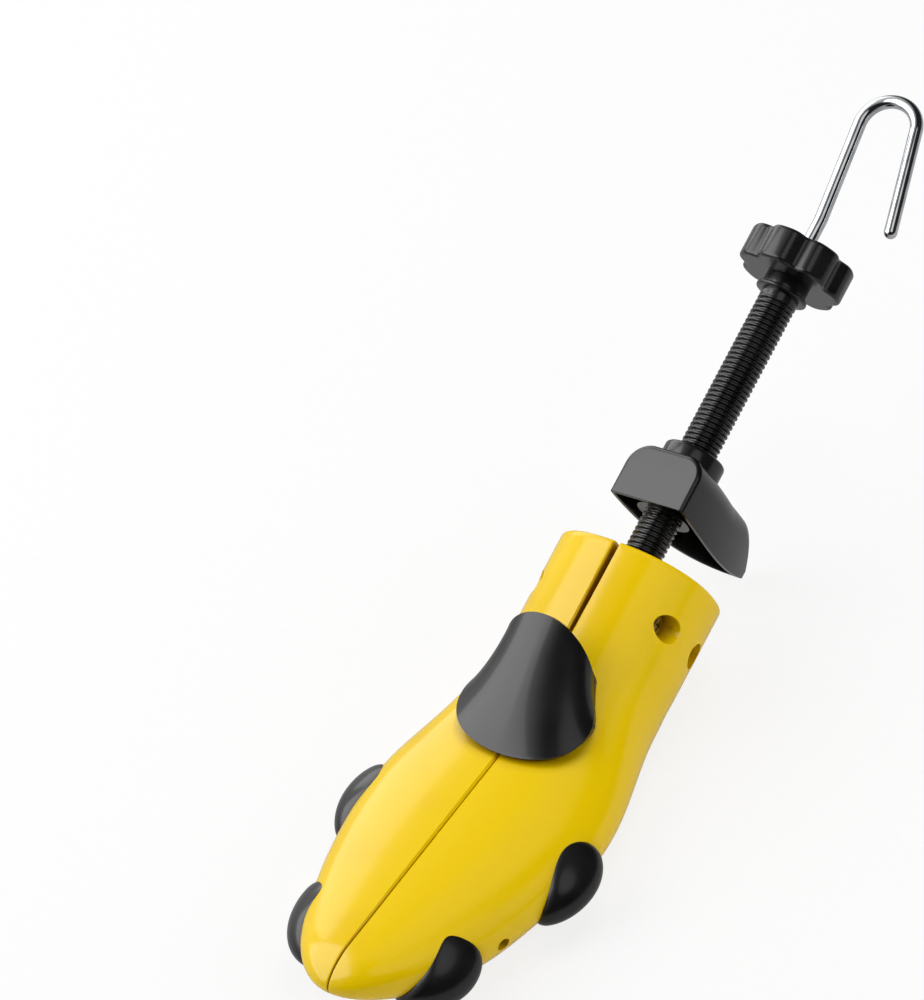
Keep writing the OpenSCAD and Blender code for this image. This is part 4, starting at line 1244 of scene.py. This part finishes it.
@dataclass
class Studio:
    """Plain pale floor, soft lamps and a camera at the photograph's viewing angle."""

    image_w: int = 924
    image_h: int = 1000
    px_per_mm: float = 2.78
    neck_px: tuple[float, float] = (637.2, 566.1)
    swing: float = math.radians(30.0)
    dip: float = math.radians(14.5)
    axis_px: tuple[float, float] = (0.4733, 0.8809)
    distance: float = 3.4
    sensor_mm: float = 24.0
    far_clip: float = 50.0
    lamp_aim: tuple[float, float, float] = (0.0, 0.0, 0.04)
    lamps: tuple = (
        ("left", (-0.8, -0.45, 0.85), 1.3, 13.2, True), ("over", (0.1, 0.4, 1.25), 0.7, 5.0, False),
        ("back", (-0.95, 0.6, 0.5), 0.8, 3.2, True), ("right", (1.1, 0.15, 0.6), 0.8, 6.0, False))
    ambient: float = 0.055
    tent: tuple[float, float, float] = (-0.9, -0.2, 0.4)
    tent_span: tuple[float, float] = (0.35, 0.8)
    slit: tuple[float, float, float] = (0.484, -0.06, 0.873)
    slit_span: tuple[float, float] = (0.93, 0.965)
    dim: float = 0.02
    bright: float = 0.75
    floor_gloss: float = 0.35
    floor_white: float = 0.82
    floor_reach: float = 6.0
    board: Board = Board()

    def camera(self, shop: Workshop) -> None:
        """Sets the camera so that the neck end falls on its place in the photograph.

        The photograph's right and up are found in the drawing frame from the axis's direction in the image.

        Args:
            shop: holds the drawing matrix.
        """
        sp, cp, st, ct = math.sin(self.swing), math.cos(self.swing), math.sin(self.dip), math.cos(self.dip)
        across = np.array([cp, 0, -sp])
        along = np.array([sp * st, ct, cp * st])
        right = self.axis_px[1] * across + self.axis_px[0] * along
        up = -self.axis_px[0] * across + self.axis_px[1] * along
        turn = shop.to_row[:, :3] / MM
        right, up = turn @ right, turn @ up
        right, up = right / np.linalg.norm(right), up / np.linalg.norm(up)
        back = np.cross(right, up)
        pixel = MM / self.px_per_mm
        aim = shop.to_row[:, 3] + right * (self.image_w / 2 - self.neck_px[0]) * pixel \
            + up * (self.neck_px[1] - self.image_h / 2) * pixel
        data = bpy.data.cameras.new("camera")
        data.sensor_fit = "VERTICAL"
        data.sensor_height = self.sensor_mm
        data.lens = self.sensor_mm * self.distance / (self.image_h * pixel)
        data.clip_end = self.far_clip
        obj = bpy.data.objects.new("camera", data)
        frame = np.column_stack([right, up, back])
        obj.matrix_world = Matrix.Translation(Vector(aim + back * self.distance)) @ Matrix(frame.tolist()).to_4x4()
        bpy.context.scene.collection.objects.link(obj)
        bpy.context.scene.camera = obj

    def lights(self) -> None:
        """Soft square lamps that face the object, in a white world.

        Reflections see that world as a dim room with a white tent on the left and a small panel above the rod.
        """
        for name, place, size, power, mirrored in self.lamps:
            data = bpy.data.lights.new(name, "AREA")
            data.size = size
            data.energy = power
            obj = bpy.data.objects.new(name, data)
            obj.location = place
            obj.visible_glossy = mirrored
            obj.rotation_euler = (Vector(self.lamp_aim) - Vector(place)).to_track_quat("-Z", "Y").to_euler()
            bpy.context.scene.collection.objects.link(obj)
        world = bpy.data.worlds.new("studio")
        bpy.context.scene.world = world
        world.use_nodes = True
        tree = world.node_tree
        path = add_node(tree, "ShaderNodeLightPath")
        coords = add_node(tree, "ShaderNodeTexCoord")
        room = []
        for aim, span, low, high in ((self.tent, self.tent_span, self.dim, self.bright),
                                     (self.slit, self.slit_span, 0.0, self.bright)):
            near = add_node(tree, "ShaderNodeVectorMath", {"operation": "DOT_PRODUCT", 1: Vector(aim).normalized()},
                            {0: coords.outputs["Generated"]})
            room.append(add_node(tree, "ShaderNodeMapRange",
                                 {"From Min": span[0], "From Max": span[1], "To Min": low, "To Max": high},
                                 {"Value": near.outputs["Value"]}).outputs["Result"])
        both = add_node(tree, "ShaderNodeMath", {"operation": "MAXIMUM"}, {0: room[0], 1: room[1]})
        gloss = add_node(tree, "ShaderNodeMix", {"data_type": "FLOAT", "A": self.ambient},
                         {"Factor": path.outputs["Is Glossy Ray"], "B": both.outputs["Value"]})
        seen = add_node(tree, "ShaderNodeMix", {"data_type": "FLOAT", "B": 1.0},
                        {"Factor": path.outputs["Is Camera Ray"], "A": gloss.outputs["Result"]})
        add_node(tree, "Background", {"Color": (1.0, 1.0, 1.0, 1.0)}, {"Strength": seen.outputs["Result"]})

    def floor(self) -> None:
        """Large pale floor, white to the camera and catching a faint shadow.

        Rays from the camera, from gloss and through clear parts see it glow by its share of white.
        """
        mesh = bpy.data.meshes.new("floor")
        far = self.floor_reach
        mesh.from_pydata([(-far, -far, 0), (far, -far, 0), (far, far, 0), (-far, far, 0)], [], [(0, 1, 2, 3)])
        obj = bpy.data.objects.new("floor", mesh)
        bpy.context.scene.collection.objects.link(obj)
        material, tree, place = Finishes.start(self.board.name)
        paper = add_node(tree, "ShaderNodeTexNoise", {"Scale": 1 / (self.board.mottle_mm * MM), "Detail": 2.0}, place)
        span = add_node(tree, "ShaderNodeMapRange", {"From Min": 0.35, "From Max": 0.65},
                        {"Value": paper.outputs["Fac"]})
        tone = add_node(tree, "ShaderNodeMix", {"data_type": "RGBA", MIX_LOW: linear(self.board.shade),
                                                MIX_HIGH: linear(self.board.colour)}, {0: span.outputs["Result"]})
        shader = add_node(tree, "Principled BSDF", {"Roughness": self.board.roughness},
                          {"Base Color": tone.outputs[MIX_RESULT]})
        path = add_node(tree, "ShaderNodeLightPath")
        dimmed = add_node(tree, "ShaderNodeMapRange", {"To Min": 1.0, "To Max": self.floor_gloss},
                          {"Value": path.outputs["Is Glossy Ray"]})
        glow = add_node(tree, "ShaderNodeEmission", {}, {"Strength": dimmed.outputs["Result"]})
        seen = add_node(tree, "ShaderNodeMath", {"operation": "MAXIMUM"},
                        {0: path.outputs["Is Camera Ray"], 1: path.outputs["Is Glossy Ray"]})
        through = add_node(tree, "ShaderNodeMath", {"operation": "MAXIMUM"},
                           {0: seen.outputs["Value"], 1: path.outputs["Is Transmission Ray"]})
        share = add_node(tree, "ShaderNodeMath", {"operation": "MULTIPLY", 1: self.floor_white},
                         {0: through.outputs["Value"]})
        blend = add_node(tree, "ShaderNodeMixShader", {},
                         {"Fac": share.outputs["Value"], 1: shader.outputs["BSDF"], 2: glow.outputs["Emission"]})
        add_node(tree, "Material Output", {}, {"Surface": blend.outputs["Shader"]})
        mesh.materials.append(material)


class Stretcher:
    """The whole object: builds its pieces, dresses them and puts each on its body."""

    carried = {
        Finish.LAST: ("spine", "left_ear", "right_ear", "spreader_wedge"),
        Finish.ZINC: ("pad_screw", "hinge_pins", "drive_nut", "left_ear_screws", "right_ear_screws", "rod_clip",
                      "tube_clip"),
    }

    def __init__(self, shop: Workshop, finishes: Finishes) -> None:
        """Keeps the workshop and finishes, and sets out the last on the frame's own tilt."""
        self.shop = shop
        self.finishes = finishes
        axis = shop.to_row[:, 1]
        self.last = Last(tilt=math.atan2(axis[2], axis[1]))

    def fit(self, obj: bpy.types.Object, body: str, finish: Finish, *nodes: str) -> None:
        """Dresses a piece, puts it on its body and lets it stand for its nodes.

        Args:
            obj: the piece.
            body: name of the body that it moves with.
            finish: its finish.
            nodes: nodes of the frame that it replaces, if any.
        """
        self.finishes.dress(obj, finish)
        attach(obj, body)
        if nodes:
            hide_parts(*nodes)
        log.info("%s on %s: %d faces", obj.name, body, len(obj.data.polygons))

    def build(self) -> None:
        """Makes every piece in order from the last to the hook, and dresses the nodes that are carried over."""
        for side in Side:
            name = side.name.lower()
            self.fit(self.last.shell(self.shop, side), f"{name}_half", Finish.LAST, f"{name}_shell")
            for node, d in (("ball_plug", self.last.peg_stations[0]), ("toe_plug", self.last.peg_stations[2])):
                plug = ReliefPlug(self.last).build(self.shop, side, d, f"{name}_{node}_dome")
                self.fit(plug, f"{name}_half", Finish.PAD, f"{name}_{node}")
        self.fit(InstepPad(self.last).build(self.shop), "frame", Finish.PAD, "instep_pad")
        tube = ScrewTube()
        self.fit(tube.build(self.shop), "tube", Finish.SCREW, "screw_tube")
        self.fit(tube.collar(self.shop), "tube", Finish.SCREW)
        self.fit(Knob().build(self.shop), "tube", Finish.SCREW, "knob")
        self.fit(HeelBlock().build(self.shop), "heel", Finish.SCREW, "heel_block")
        self.fit(HookRod().build(self.shop), "hook", Finish.CHROME, "hook_rod")
        for finish, nodes in self.carried.items():
            for node in nodes:
                self.finishes.dress_node(self.shop.frame["nodes"][node], finish)


def main() -> None:
    """Builds the studio and the stretcher."""
    logging.basicConfig(level=logging.INFO, format="%(name)s: %(message)s")
    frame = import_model()
    shop = Workshop(frame)
    studio = Studio()
    studio.camera(shop)
    studio.lights()
    studio.floor()
    Stretcher(shop, Finishes()).build()
    bpy.context.scene.view_settings.view_transform = "Standard"


if __name__ == "__main__":
    main()
